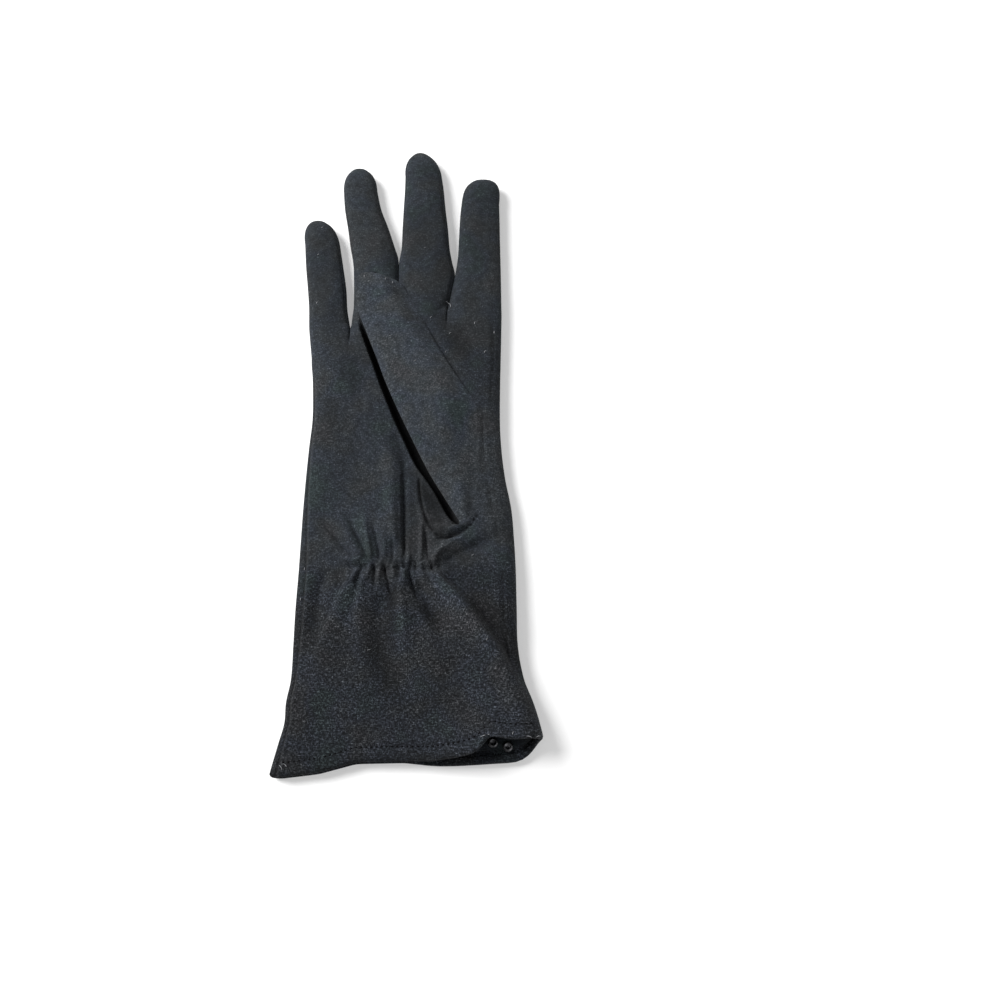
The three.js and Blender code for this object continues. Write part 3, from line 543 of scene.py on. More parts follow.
def gather_relief(x, y):
    """The narrow valley that the elastic pulls between two soft swellings, and the puckers across it."""
    line, inside = gather_line(x)
    away = np.abs(y - line)
    swelling = SWELLING["high"] * bell((away - SWELLING["from"]) / SWELLING["wide"])
    return inside * (swelling - GATHER["valley"] * bell(away / GATHER["grip"])) - puckers(x, y)


def slit(x, y):
    """The deep pleat beside the thumb: 0 outside its lip, 1 at its floor, rising again under the thumb."""
    lip = smooth(SLIT_LIP, "x", y)
    slope = (smooth(SLIT_LIP, "x", y + 1) - smooth(SLIT_LIP, "x", y - 1)) / 2
    inwards = (x - lip) / np.sqrt(1 + slope ** 2)
    ends = ease((y - SLIT["from"]) / SLIT["sink"]) * ease((SLIT["to"] - y) / SLIT["fade"])
    under = np.minimum(SLIT["under"], SLIT["share"] * (smooth(THUMB, "right", y) - lip))
    rise = ease((under - inwards) / np.minimum(SLIT["rise"], under))
    return ends * ease(inwards / SLIT["wall"] + SLIT["start"]) * rise


def side_seam(x, y):
    """Distance from the little finger's side seam, below 0 past it, and how much of the seam is there."""
    seam = smooth(HAND, "left", y) + smooth(SIDE_SEAM, "inset", y)
    return x - seam, ease((SIDE["to"] - y) / SIDE["fade"])


def side_relief(x, y):
    """The palm's rolled edge along the side seam, a groove, and the step down to the back past it."""
    gap, there = side_seam(x, y)
    roll = SIDE["roll"] * bell((gap - SIDE["roll_from"]) / SIDE["roll_wide"])
    step = SIDE["step"] * ease(-gap / SIDE["step_wide"] + 0.5)
    return there * (roll - step - SIDE["groove"] * bell(gap / SIDE["groove_wide"]))


def hem_stitching(x, y, name):
    """The dents of the hem's stitches along their line: a bell across it times a raised cosine along it."""
    line = softened_hem(x, name) + HEM_STITCH
    return bell((y - line) / STITCH_DENT["wide"]) * (0.5 + 0.5 * np.cos(2 * math.pi * x / STITCH_PITCH))


def palm_relief(x, y):
    """Everything that raises or sinks the palm side from its plain height."""
    soft = 0.28 * waves(x, y, 34, 3) + 0.14 * waves(x, y, 13, 4)
    soft = soft + 0.5 * towards_cuff(y, "soft") * waves(x, y * 0.5, 28, 5)
    folds = fold_relief(FOLDS, x, y) + fold_relief(LIP, x, y)
    sunk = SLIT["deep"] * slit(x, y) + STITCH_DENT["palm"] * hem_stitching(x, y, "palm")
    return folds + seam_relief(x, y) + gather_relief(x, y) + side_relief(x, y) + soft - sunk


def tone_and_painted_shade(x, y):
    """The knit's broad lighter and darker areas, partly its own tone and partly painted shade and painted
    light:
    each row of TONE_AND_SHADE_PATCHES multiplies the tone inside its oval.
    """
    total = mix(PALM_TONE, CUFF_TONE, towards_cuff(y, "tone"))
    for i in range(len(TONE_AND_SHADE_PATCHES["x"])):
        turn = math.radians(TONE_AND_SHADE_PATCHES["turn"][i])
        dx, dy = x - TONE_AND_SHADE_PATCHES["x"][i], y - TONE_AND_SHADE_PATCHES["y"][i]
        across = (dx * math.cos(turn) + dy * math.sin(turn)) / TONE_AND_SHADE_PATCHES["wide"][i]
        along = (dy * math.cos(turn) - dx * math.sin(turn)) / TONE_AND_SHADE_PATCHES["long"][i]
        total = total * (1 + (TONE_AND_SHADE_PATCHES["tone"][i] - 1) * bell(np.hypot(across, along) ** 1.5))
    return total


def graininess(y):
    """The palm's, the cuff's and the fingers' grain, eased into one another."""
    hand = mix(GRAIN["palm"], GRAIN["cuff"], towards_cuff(y, "grain"))
    return mix(hand, GRAIN["fingers"], towards_fingers(y, "grain"))


def palm_shade(x, y):
    """How light the palm side's knit is painted: 1, with painted shade where it folds into itself and holds
    the dark, times its broad tone with painted shade and light.
    """
    gap, there = side_seam(x, y)
    line = 0.8 * there * bell(gap / SEAM_LINE)
    for away, deep in seam_lines(x, y):
        line = np.maximum(line, deep * bell(away / SEAM_DARK))
    shade = 1 - PAINTED_SHADE["seam"] * np.clip(line, 0, 1)
    shade *= 1 - PAINTED_SHADE["back"] * there * ease(-gap / 0.6 + 0.5)
    shade *= 1 - PAINTED_SHADE["pucker"] * np.clip(puckers(x, y) / 1.6, 0, 1)
    shade *= 1 - PAINTED_SHADE["stitch"] * hem_stitching(x, y, "palm")
    edge = ease(1 - (y - softened_hem(x, "palm")) / MOUTH["deep"]) * ease((MOUTH["to"] - x) / MOUTH["fade"])
    return shade * (1 - PAINTED_SHADE["slit"] * slit(x, y)) * (1 - PAINTED_SHADE["mouth"] * edge) * tone_and_painted_shade(x, y)


# The hand and the fingers.


def finger_sides(name, y):
    """Left and right side of a finger at y, and the share of its size that the tip's superellipse keeps."""
    rows, (tip_x, tip_y), power = FINGERS[name]["rows"], FINGERS[name]["tip"], FINGERS[name]["power"]
    left, right = smooth(rows, "left", y), smooth(rows, "right", y)
    u = np.clip((y - rows["y"][-1]) / (tip_y - rows["y"][-1]), 0, 1)
    keep = (1 - u ** power) ** (1 / power)
    middle, half = mix((left + right) / 2, tip_x, u), (right - left) / 2 * keep
    return middle - half, middle + half, keep


def group_sides(g, y):
    """Sides of finger g's share of the glove: lines shared with its neighbours until they part."""
    left, right, keep = finger_sides(ORDER[g], y)
    if g > 0:
        shared = (left + finger_sides(ORDER[g - 1], y)[1]) / 2
        left = mix(shared, left, ease((y - PARTING[g]) / PART_OVER))
    if g < 3:
        shared = (right + finger_sides(ORDER[g + 1], y)[0]) / 2
        right = mix(shared, right, ease((y - PARTING[g + 1]) / PART_OVER))
    hand_left, hand_right = smooth(HAND, "left", y), smooth(HAND, "right", y)
    first = FINGERS["little"]["rows"]["y"][0]
    lowest, highest = smooth(HAND, "left", first), smooth(HAND, "right", first)
    t = [(s - lowest) / (highest - lowest) for s in group_lines(first)]
    blend = towards_fingers(y, "sides")
    left = mix(mix(hand_left, hand_right, t[g]), left, blend)
    right = mix(mix(hand_left, hand_right, t[g + 1]), right, blend)
    return left, right, keep


def group_lines(y):
    """The hand's two sides and the three lines between the fingers' shares at y, before they part."""
    sides = [finger_sides(name, np.array(float(y)))[:2] for name in ORDER]
    between = [(sides[i][1] + sides[i + 1][0]) / 2 for i in range(3)]
    return [float(v) for v in (sides[0][0], *between, sides[3][1])]


def softened(g, side, y):
    """How much of the rounding shows along one side of finger g's share: all of it past the crotch."""
    if (g, side) in ((0, 0), (3, 1)):
        return np.ones(np.shape(y))
    past = y - PARTING[g + side]
    before = CROTCH["share"] * ease((past + CROTCH["before"]) / CROTCH["before"])
    return before + (1 - CROTCH["share"]) * ease(past / CROTCH["after"])


def strip_reach(g, side, y, half):
    """How far in from a finger's side its strip ends, seen from above."""
    if (g, side) in ((0, 0), (3, 1)):
        return np.zeros(np.shape(y))
    part = ease((y - PARTING[g + side]) / CROTCH["after"])
    flat_share = 1 - (1 - STRIP_RISE ** ROUND_POWER) ** (1 / ROUND_POWER)
    return np.minimum(EDGE_ROUND, half) * flat_share * part


def back_relief(x, y):
    """The studs hold the back of the cuff up, and the rest is a little uneven off the table."""
    away = np.hypot(x - STUD_X, y - STUD_Y) / LIFT["reach"]
    held = LIFT["high"] * np.exp(-(away ** LIFT["power"])) + STITCH_DENT["back"] * hem_stitching(x, y, "back")
    return held + 0.5 * waves(x, y, 26, 8) + 0.3


def cloth_height(g, x, y, upper, keep, sides):
    """Height of the palm side or the back: the rounding takes it from the side seam to the plain height."""
    left, right = sides
    reach = np.minimum(EDGE_ROUND, (right - left) / 2)
    rise = 1 - softened(g, 0, y) * (1 - rounding(x - left, reach))
    rise = np.minimum(rise, 1 - softened(g, 1, y) * (1 - rounding(right - x, reach)))
    hand_left, hand_right = smooth(HAND, "left", y), smooth(HAND, "right", y)
    t = np.clip((x - hand_left) / (hand_right - hand_left), 0, 1)
    seam = mix(smooth(HAND, "seamLeft", y), smooth(HAND, "seamRight", y), t)
    if upper:
        to_middle, to_right = (ease((t - start) / HIGH_OVER) for start in HIGH_FROM)
        plain = mix(smooth(HAND, "highLeft", y), smooth(HAND, "highMid", y), to_middle)
        plain = mix(plain, smooth(HAND, "highRight", y), to_right) + palm_relief(x, y)
        return mix(seam, plain, rise * keep)
    plain = PRESSED + back_relief(x, y)
    return np.maximum(mix(seam, plain, rise * keep), 0)


def softened_hem(x, name):
    """The hem's edge, eased round its table's corners by averaging it over 3 mm."""
    steps = np.linspace(-1.5, 1.5, 5)
    return sum(np.interp(x + step, HEM_EDGE["x"], HEM_EDGE[name]) for step in steps) / len(steps)


def spaced(stops):
    """Places from the first stop to the last, with the step given between each pair."""
    parts = []
    for (a, _), (b, step) in zip(stops[:-1], stops[1:]):
        parts.append(np.linspace(a, b, max(int(round(abs(b - a) / step)), 1) + 1)[:-1])
    return np.concatenate([*parts, [stops[-1][0]]])


def share_columns(g, fine):
    """Fractions across finger g's share: even, and crowded at the hand's rounded sides."""
    t = np.linspace(0, 1, int(COLUMNS[g] * fine) + 1)
    if g == 0:
        return 1 - np.sin((1 - t) * math.pi / 2)
    return np.sin(t * math.pi / 2) if g == 3 else t


def bent(y, still, end, goal):
    """Rows between a y that stays still and an end, stretched so that the end comes to the goal."""
    return still + (y[:, None] - still) * (goal - still) / (end - still)


def share_grid(g, upper, fine=1.0):
    """Plan of finger g's share from hem to fingertip: fractions across and y, with the row where it parts.

    Rows run along y. The hand's are bent to the hem's edge at one end and to the parting line at the other.
    """
    f = share_columns(g, fine)
    round_f = (1 - np.cos(np.linspace(0, math.pi, len(f)))) / 2
    step = 1 / fine
    nominal = spaced([(y, gap * step) for y, gap in ROWS])
    parting = mix(PARTING[g], PARTING[g + 1], f)
    left, right, _ = group_sides(g, np.full(len(f), -138.0))
    edge = softened_hem(mix(left, right, f), "palm" if upper else "back") + HEM_FOLD
    rows_y = nominal[:, None] + np.zeros(len(f))
    low, high = nominal < BENT[0], nominal > BENT[1]
    rows_y[low] = bent(nominal[low], BENT[0], ROWS[0][0], edge)
    rows_y[high] = bent(nominal[high], BENT[1], ROWS[-1][0], parting)
    name = ORDER[g]
    last, tip_y = FINGERS[name]["rows"]["y"][-1], FINGERS[name]["tip"][1]
    count = int(round((last - PARTING[g + 1]) / (FINGER_STEP * step)))
    up = np.linspace(0, 1, count + 1)[1:, None]
    finger_y = mix(parting, last, up)
    towards_tip = np.sin(np.linspace(0, math.pi / 2, int(TIP_ROWS * fine) + 1))[1:, None]
    tip = mix(last, tip_y, towards_tip) + np.zeros(len(f))
    y = np.vstack([rows_y, finger_y, tip])
    crowded = ease((y - parting + CROWDED[0]) / CROWDED[1])
    return mix(f, round_f, crowded), y, len(nominal) - 1


def share_surface(g, upper, fine):
    """Points of finger g's share of the palm side or the back, and the row where it parts."""
    f, y, parted = share_grid(g, upper, fine)
    left, right, keep = group_sides(g, y)
    half = (right - left) / 2
    near, far = strip_reach(g, 0, y, half), strip_reach(g, 1, y, half)
    x = mix(left + near, right - far, f)
    z = cloth_height(g, x, y, upper, keep, (left, right))
    return np.stack([x, y, z], axis=-1), parted


def normals(points):
    """Unit normals of a grid, from the cross product of its two directions."""
    across, along = np.gradient(points, axis=1), np.gradient(points, axis=0)
    n = np.cross(across, along)
    return n / np.maximum(np.linalg.norm(n, axis=-1, keepdims=True), 1e-9)


def from_edge(points, last):
    """Distance along each row from its first or last column."""
    steps = np.linalg.norm(np.diff(points, axis=1), axis=-1)
    if last:
        steps = steps[:, ::-1]
    run = np.concatenate([np.zeros((len(points), 1)), np.cumsum(steps, axis=1)], axis=1)
    return run[:, ::-1] if last else run


def sewn(points, where, outwards):
    """Pulls a grid in along its sewn edges: a bell of the distance from the edge, along the normal."""
    pull = sum(weight * bell(from_edge(points, last) / SEAM_WIDE) for last, weight in where)
    return points - outwards * normals(points) * (SEAM_DEEP * pull)[..., None]


# Meshes.


def faces_of(rows, columns, flip):
    """Corner numbers of a grid's quads."""
    r, c = np.meshgrid(np.arange(rows - 1), np.arange(columns - 1), indexing="ij")
    a = (r * columns + c).ravel()
    quads = np.stack([a, a + 1, a + columns + 1, a + columns], axis=1)
    return quads[:, ::-1] if flip else quads


def placed(name, data):
    """A new object in the scene."""
    thing = bpy.data.objects.new(name, data)
    bpy.context.scene.collection.objects.link(thing)
    return thing


def mesh_piece(name, grids, material, thickness=CLOTH):
    """One mesh from grids of points, each with its cloth coordinates, shade, grain and the points it keeps.

    Corners that coincide are welded, and a quad with two corners welded becomes a triangle.
    """
    points, cloth, shade, grain, quads = [], [], [], [], []
    start = 0
    for grid in grids:
        rows, columns = grid["points"].shape[:2]
        faces = faces_of(rows, columns, grid.get("flip", False))
        if "keep" in grid:
            faces = faces[grid["keep"].reshape(-1)[faces].all(axis=1)]
        points.append(grid["points"].reshape(-1, 3))
        cloth.append(grid["cloth"].reshape(-1, 2))
        shade.append(np.broadcast_to(grid.get("shade", 1.0), (rows, columns)).ravel())
        grain.append(np.broadcast_to(grid.get("grain", GRAIN["fingers"]), (rows, columns)).ravel())
        quads.append(faces + start)
        start += rows * columns
    parts = (points, cloth, shade, grain, quads)
    points, cloth, shade, grain, quads = (np.concatenate(part) for part in parts)
    _, first, welded = np.unique(np.round(points, 3), axis=0, return_index=True, return_inverse=True)
    corners = welded.ravel()[quads]
    following = np.roll(corners, -1, axis=1)
    kept = corners != following
    size = kept.sum(axis=1)
    loops = quads[kept & (size >= 3)[:, None]]
    counts = size[size >= 3]
    used, local = np.unique(welded.ravel()[loops], return_inverse=True)
    mesh = bpy.data.meshes.new(name)
    places = (points[first[used]] + SHIFT) * MM
    mesh.vertices.add(len(places))
    mesh.vertices.foreach_set("co", places.astype(np.float32).ravel())
    mesh.loops.add(len(loops))
    mesh.loops.foreach_set("vertex_index", local.ravel().astype(np.int32))
    mesh.polygons.add(len(counts))
    starts = np.concatenate([[0], np.cumsum(counts)[:-1]])
    mesh.polygons.foreach_set("loop_start", starts.astype(np.int32))
    mesh.update(calc_edges=True)
    layer = mesh.uv_layers.new(name="cloth")
    layer.data.foreach_set("uv", (cloth[loops] * CLOTH_UNIT).astype(np.float32).ravel())
    mesh.polygons.foreach_set("use_smooth", np.ones(len(counts), bool))
    for title, values in (("shade", shade), ("grain", grain)):
        attribute = mesh.attributes.new(title, "FLOAT", "POINT")
        attribute.data.foreach_set("value", values[first[used]].astype(np.float32))
    mesh.validate()
    mesh.materials.append(material)
    piece = placed(name, mesh)
    if thickness:
        wall = piece.modifiers.new("wall", "SOLIDIFY")
        wall.thickness = thickness * MM
        wall.offset = -1
    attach(piece, "root")
    return piece


# Materials.


def node_tree(name):
    """A new material with its nodes, its links and its shader."""
    material = bpy.data.materials.new(name)
    material.use_nodes = True
    nodes, links = material.node_tree.nodes, material.node_tree.links
    return material, nodes, links, nodes["Principled BSDF"]


def grey(value):
    return value, value, value


def math_node(nodes, links, operation, a, b=None, c=None):
    node = nodes.new("ShaderNodeMath")
    node.operation = operation
    for socket, value in zip(node.inputs, (a, b, c)):
        if value is None:
            continue
        if isinstance(value, (int, float)):
            socket.default_value = value
        else:
            links.new(value, socket)
    return node.outputs[0]


def noise_node(nodes, links, vector, scale, detail=2.0, rough=0.5):
    node = nodes.new("ShaderNodeTexNoise")
    node.inputs["Scale"].default_value = scale
    node.inputs["Detail"].default_value = detail
    node.inputs["Roughness"].default_value = rough
    links.new(vector, node.inputs["Vector"])
    return node


def ramp_node(nodes, links, factor, stops):
    node = nodes.new("ShaderNodeValToRGB")
    while len(node.color_ramp.elements) < len(stops):
        node.color_ramp.elements.new(0.5)
    for element, (place, colour) in zip(node.color_ramp.elements, stops):
        element.position = place
        element.color = (*colour, 1)
    links.new(factor, node.inputs["Fac"])
    return node.outputs["Color"]


def mix_node(nodes, links, kind, factor, a, b):
    """A blend of two colours, each one a socket or three numbers."""
    node = nodes.new("ShaderNodeMix")
    node.data_type = "RGBA"
    node.blend_type = kind
    for socket, value in ((node.inputs[0], factor), (node.inputs[6], a), (node.inputs[7], b)):
        if isinstance(value, (int, float)):
            socket.default_value = value
        elif isinstance(value, tuple):
            socket.default_value = (*value, 1)
        else:
            links.new(value, socket)
    return node.outputs[2]


# Sizes of the knit's marks: along the cloth those of its fibres and mottle, and in space its broad patches.
STREAK, FIBRE, MOTTLE = (size * CLOTH_UNIT for size in (0.56, 0.50, 2.6))
PATCH, TINT = 0.024, 0.015


def noise_colour(nodes, links, shader, size, detail, stops):
    """Colours a material along the stops by noise of one size in metres, and gives the noise back."""
    place = nodes.new("ShaderNodeTexCoord").outputs["Object"]
    noise = noise_node(nodes, links, place, 1 / size, detail).outputs["Fac"]
    links.new(ramp_node(nodes, links, noise, stops), shader.inputs["Base Color"])
    return noise


def black_knit():
    """Fine heathered jersey: V stitches in wales and courses, with dark and paler fibres and faint tints."""
    material, nodes, links, shader = node_tree("black_knit")
    cloth = nodes.new("ShaderNodeUVMap")
    cloth.uv_map = "cloth"
    place = nodes.new("ShaderNodeTexCoord").outputs["Object"]
    split = nodes.new("ShaderNodeSeparateXYZ")
    links.new(cloth.outputs["UV"], split.inputs[0])

    # Stitches: each wale is a column of Vs, so the rows lean up towards both of its edges.
    across = math_node(nodes, links, "DIVIDE", split.outputs["X"], WALE * CLOTH_UNIT)
    along = math_node(nodes, links, "DIVIDE", split.outputs["Y"], COURSE * CLOTH_UNIT)
    half = math_node(nodes, links, "PINGPONG", across, 0.5)
    leaning = math_node(nodes, links, "ADD", along, math_node(nodes, links, "MULTIPLY", half, 1.6))
    rib = math_node(nodes, links, "SINE", math_node(nodes, links, "MULTIPLY", leaning, 2 * math.pi))
    leg = math_node(nodes, links, "SINE", math_node(nodes, links, "MULTIPLY", half, 2 * math.pi))
    leg = math_node(nodes, links, "MULTIPLY", leg, 0.7)
    stitch = math_node(nodes, links, "MULTIPLY_ADD", rib, 0.5, leg)

    # Colour: paler fibres in short streaks along the courses and some along the wales, over a soft mottle.
    rows = nodes.new("ShaderNodeMapping")
    rows.inputs["Scale"].default_value = (0.42, 1.0, 1.0)
    links.new(cloth.outputs["UV"], rows.inputs["Vector"])
    columns = nodes.new("ShaderNodeMapping")
    columns.inputs["Scale"].default_value = (1.0, 0.5, 1.0)
    links.new(cloth.outputs["UV"], columns.inputs["Vector"])
    streak = noise_node(nodes, links, rows.outputs["Vector"], 1 / STREAK, 2.0, 0.6)
    fibre = noise_node(nodes, links, columns.outputs["Vector"], 1 / FIBRE, 2.0, 0.6)
    both = math_node(nodes, links, "MAXIMUM", streak.outputs["Fac"], fibre.outputs["Fac"])
    mottle = noise_node(nodes, links, cloth.outputs["UV"], 1 / MOTTLE, 3.0, 0.6)
    patch = noise_node(nodes, links, place, 1 / PATCH, 2.0, 0.5)
    tint = noise_node(nodes, links, place, 1 / TINT, 1.0, 0.5)
    flecks = ramp_node(nodes, links, both, [
        (0.43, (0.0024, 0.0028, 0.0034)), (0.56, (0.0125, 0.0138, 0.0160)),
        (0.68, (0.0560, 0.0590, 0.0640)), (0.80, (0.1650, 0.1700, 0.1790)),
    ])
    grain = nodes.new("ShaderNodeAttribute")
    grain.attribute_name = "grain"
    base = mix_node(nodes, links, "MIX", grain.outputs["Fac"], (0.0200, 0.0229, 0.0251), flecks)
    uneven = ramp_node(nodes, links, mottle.outputs["Fac"], [(0.32, grey(0.70)), (0.68, grey(1.3))])
    base = mix_node(nodes, links, "MULTIPLY", 1.0, base, uneven)
    hue = ramp_node(nodes, links, tint.outputs["Fac"], [
        (0.30, (0.84, 1.05, 1.01)), (0.44, (0.90, 0.98, 1.14)),
        (0.58, (0.97, 1.0, 1.01)), (0.72, (1.04, 0.99, 0.98)),
    ])
    base = mix_node(nodes, links, "MULTIPLY", 1.0, base, hue)
    broad = ramp_node(nodes, links, patch.outputs["Fac"], [(0.3, grey(0.86)), (0.7, grey(1.14))])
    base = mix_node(nodes, links, "MULTIPLY", 1.0, base, broad)
    # Painted shade and painted light in folds, seams, the slit, the mouth and on the thumb, with the knit's
    # broad tone, come in through the shade attribute.
    shade = nodes.new("ShaderNodeAttribute")
    shade.attribute_name = "shade"
    base = mix_node(nodes, links, "MULTIPLY", 1.0, base, shade.outputs["Color"])
    links.new(base, shader.inputs["Base Color"])
    shader.inputs["Roughness"].default_value = 0.92
    shader.inputs["Specular IOR Level"].default_value = 0.15
    shader.inputs["Sheen Weight"].default_value = 0.03
    shader.inputs["Sheen Roughness"].default_value = 0.55

    height = math_node(nodes, links, "MULTIPLY_ADD", both, 2.2, stitch)
    bump = nodes.new("ShaderNodeBump")
    bump.inputs["Strength"].default_value = 0.8
    bump.inputs["Distance"].default_value = 0.00007
    links.new(height, bump.inputs["Height"])
    links.new(bump.outputs["Normal"], shader.inputs["Normal"])
    return material


def dark_thread():
    """Sewing thread, a little smoother than the knit."""
    material, nodes, links, shader = node_tree("dark_thread")
    noise_colour(nodes, links, shader, 0.0004, 2.0, [(0.3, grey(0.001)), (0.75, (0.007, 0.007, 0.008))])
    shader.inputs["Roughness"].default_value = 0.7
    shader.inputs["Specular IOR Level"].default_value = 0.05
    return material


def pale_fibre():
    """Lint: soft pale grey, uneven along its length."""
    material, nodes, links, shader = node_tree("pale_fibre")
    stops = [(0.3, (0.07, 0.072, 0.078)), (0.7, (0.26, 0.265, 0.28))]
    noise_colour(nodes, links, shader, 0.0009, 2.0, stops)
    shader.inputs["Roughness"].default_value = 0.9
    return material


def stud_metal():
    """Dark polished metal with fine scratches and dull patches."""
    material, nodes, links, shader = node_tree("stud_metal")
    stops = [(0.3, (0.03, 0.03, 0.033)), (0.7, (0.17, 0.17, 0.18))]
    worn = noise_colour(nodes, links, shader, 0.0012, 4.0, stops)
    dull = ramp_node(nodes, links, worn, [(0.3, grey(0.42)), (0.7, grey(0.18))])
    links.new(dull, shader.inputs["Roughness"])
    shader.inputs["Metallic"].default_value = 1.0
    return material


knit = black_knit()
thread = dark_thread()
lint = pale_fibre()
metal = stud_metal()


# The palm side and the back.


def cloth_coordinates(points):
    """Unrolled coordinates: x, lengthened by how far the cloth has gone down at the sides, and y."""
    middle = points.shape[1] // 2
    steps = np.linalg.norm(np.diff(points[..., [0, 2]], axis=1), axis=-1)
    run = np.concatenate([np.zeros((len(points), 1)), np.cumsum(steps, axis=1)], axis=1)
    across = points[:, middle, 0][:, None] + run - run[:, middle][:, None]
    return np.stack([across, points[..., 1]], axis=-1)


def sewn_share(g, upper, fine):
    """Finger g's share with its sewn edges pulled in: the glove's sides, and the others past the crotch."""
    points, parted = share_surface(g, upper, fine)
    outwards = 1 if upper else -1
    past = np.arange(len(points)) - parted
    keep = group_sides(g, points[:, 0, 1])[2]
    where = []
    for last, outer in ((0, g == 0), (1, g == 3)):
        along = np.ones(len(points)) if outer else STRIP_PULL * ease(past / SEWN_ROWS)
        where.append((last, (along * np.minimum(1, keep * 2))[:, None]))
    points = sewn(points, where, outwards)
    if not upper:
        points[..., 2] = np.maximum(points[..., 2], 0)
    return points


def folded_edge(points, outwards, g):
    """The cuff's edge: rows that turn a half circle inwards below the first row, then run back up inside.

    Close to the cuff's two sides the half circle shrinks to nothing, which rounds its corners.
    """
    n = normals(points)[0] * outwards
    radius = np.full((points.shape[1], 1), HEM_FOLD)
    if g in (0, 3):
        radius *= rounding(from_edge(points[:1], g == 3)[0], HEM_CORNER)[:, None]
    turn = np.linspace(math.pi, 0, 9)[:-1, None, None]
    down = np.array([0.0, -1.0, 0.0])
    rows = points[0] - n * radius * (1 - np.cos(turn)) + down * radius * np.sin(turn)
    inner = rows[0] - down * np.array([2.0, 1.0])[:, None, None] * radius / HEM_FOLD
    return np.concatenate([inner, rows, points])


def thumb_hole(x, y):
    """Distance inside the palm's hole under the thumb's root: above 0 in the hole."""
    from_left = x - smooth(THUMB, "left", y) - THUMB_HOLE["left"]
    from_right = smooth(THUMB, "right", y) - THUMB_HOLE["right"] - x
    from_ends = np.minimum(y - THUMB_OPEN[0] - THUMB_HOLE["foot"], THUMB_OPEN[1] - y)
    return np.minimum(np.minimum(from_left, from_right), from_ends)


def side_grids(upper, fine):
    """The four shares of the palm side or the back, each from the hem's fold to its fingertip."""
    grids = []
    for g in range(4):
        points = folded_edge(sewn_share(g, upper, fine), 1 if upper else -1, g)
        x, y = points[..., 0], points[..., 1]
        grid = {"points": points, "cloth": cloth_coordinates(points), "flip": not upper}
        grid["shade"] = palm_shade(x, y) if upper else tone_and_painted_shade(x, y)
        grid["grain"] = graininess(y)
        if upper:
            grid["keep"] = thumb_hole(x, y) <= 0
        grids.append(grid)
    return grids


palm_grids = side_grids(True, 1)
palm = mesh_piece("palm_knit", palm_grids, knit)
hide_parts("palm_panel", "cuff_palm", "fingers_palm")
back = mesh_piece("back_knit", side_grids(False, BACK_FINE), knit)
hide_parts("back_panel", "cuff_back", "fingers_back")


# The strips between the fingers.


def strip_side(g, side):
    """Points of the strip along one side of finger g, from the crotch to the tip and from palm to back."""
    _, y, parted = share_grid(g, True)
    y = y[parted:, -1 if side else 0]
    left, right, keep = group_sides(g, y)
    edge = right if side else left
    in_by = strip_reach(g, side, y, (right - left) / 2)
    q = np.linspace(1, -1, STRIP_COLUMNS)
    x = edge[:, None] + (-1 if side else 1) * in_by[:, None] * np.abs(q) ** ROUND_POWER
    place = edge + (-in_by if side else in_by)
    top = cloth_height(g, place, y, True, keep, (left, right))
    low = cloth_height(g, place, y, False, keep, (left, right))
    seam = smooth(HAND, "seamLeft", y)
    z = seam[:, None] + np.where(q > 0, (top - seam)[:, None], (seam - low)[:, None]) * q
    return np.stack([x, np.broadcast_to(y[:, None], x.shape), z], axis=-1)


for k, strip_name in enumerate(STRIPS):
    down, up = strip_side(k, 1), strip_side(k + 1, 0)
    points = np.concatenate([down[::-1], up[1:]])
    steps = np.linalg.norm(np.diff(points[:, STRIP_COLUMNS // 2], axis=0), axis=1)
    run = np.concatenate([[0], np.cumsum(steps)])
    cloth = np.stack([points[..., 2], np.broadcast_to(run[:, None], points.shape[:2])], axis=-1)
    points = sewn(points, [(0, STRIP_PULL), (1, STRIP_PULL)], -1)
    strip_grid = {"points": points, "cloth": cloth, "flip": True}
    strip = mesh_piece("strip_" + strip_name, [strip_grid], knit)
    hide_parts("fourchette_" + strip_name)


# The thumb.


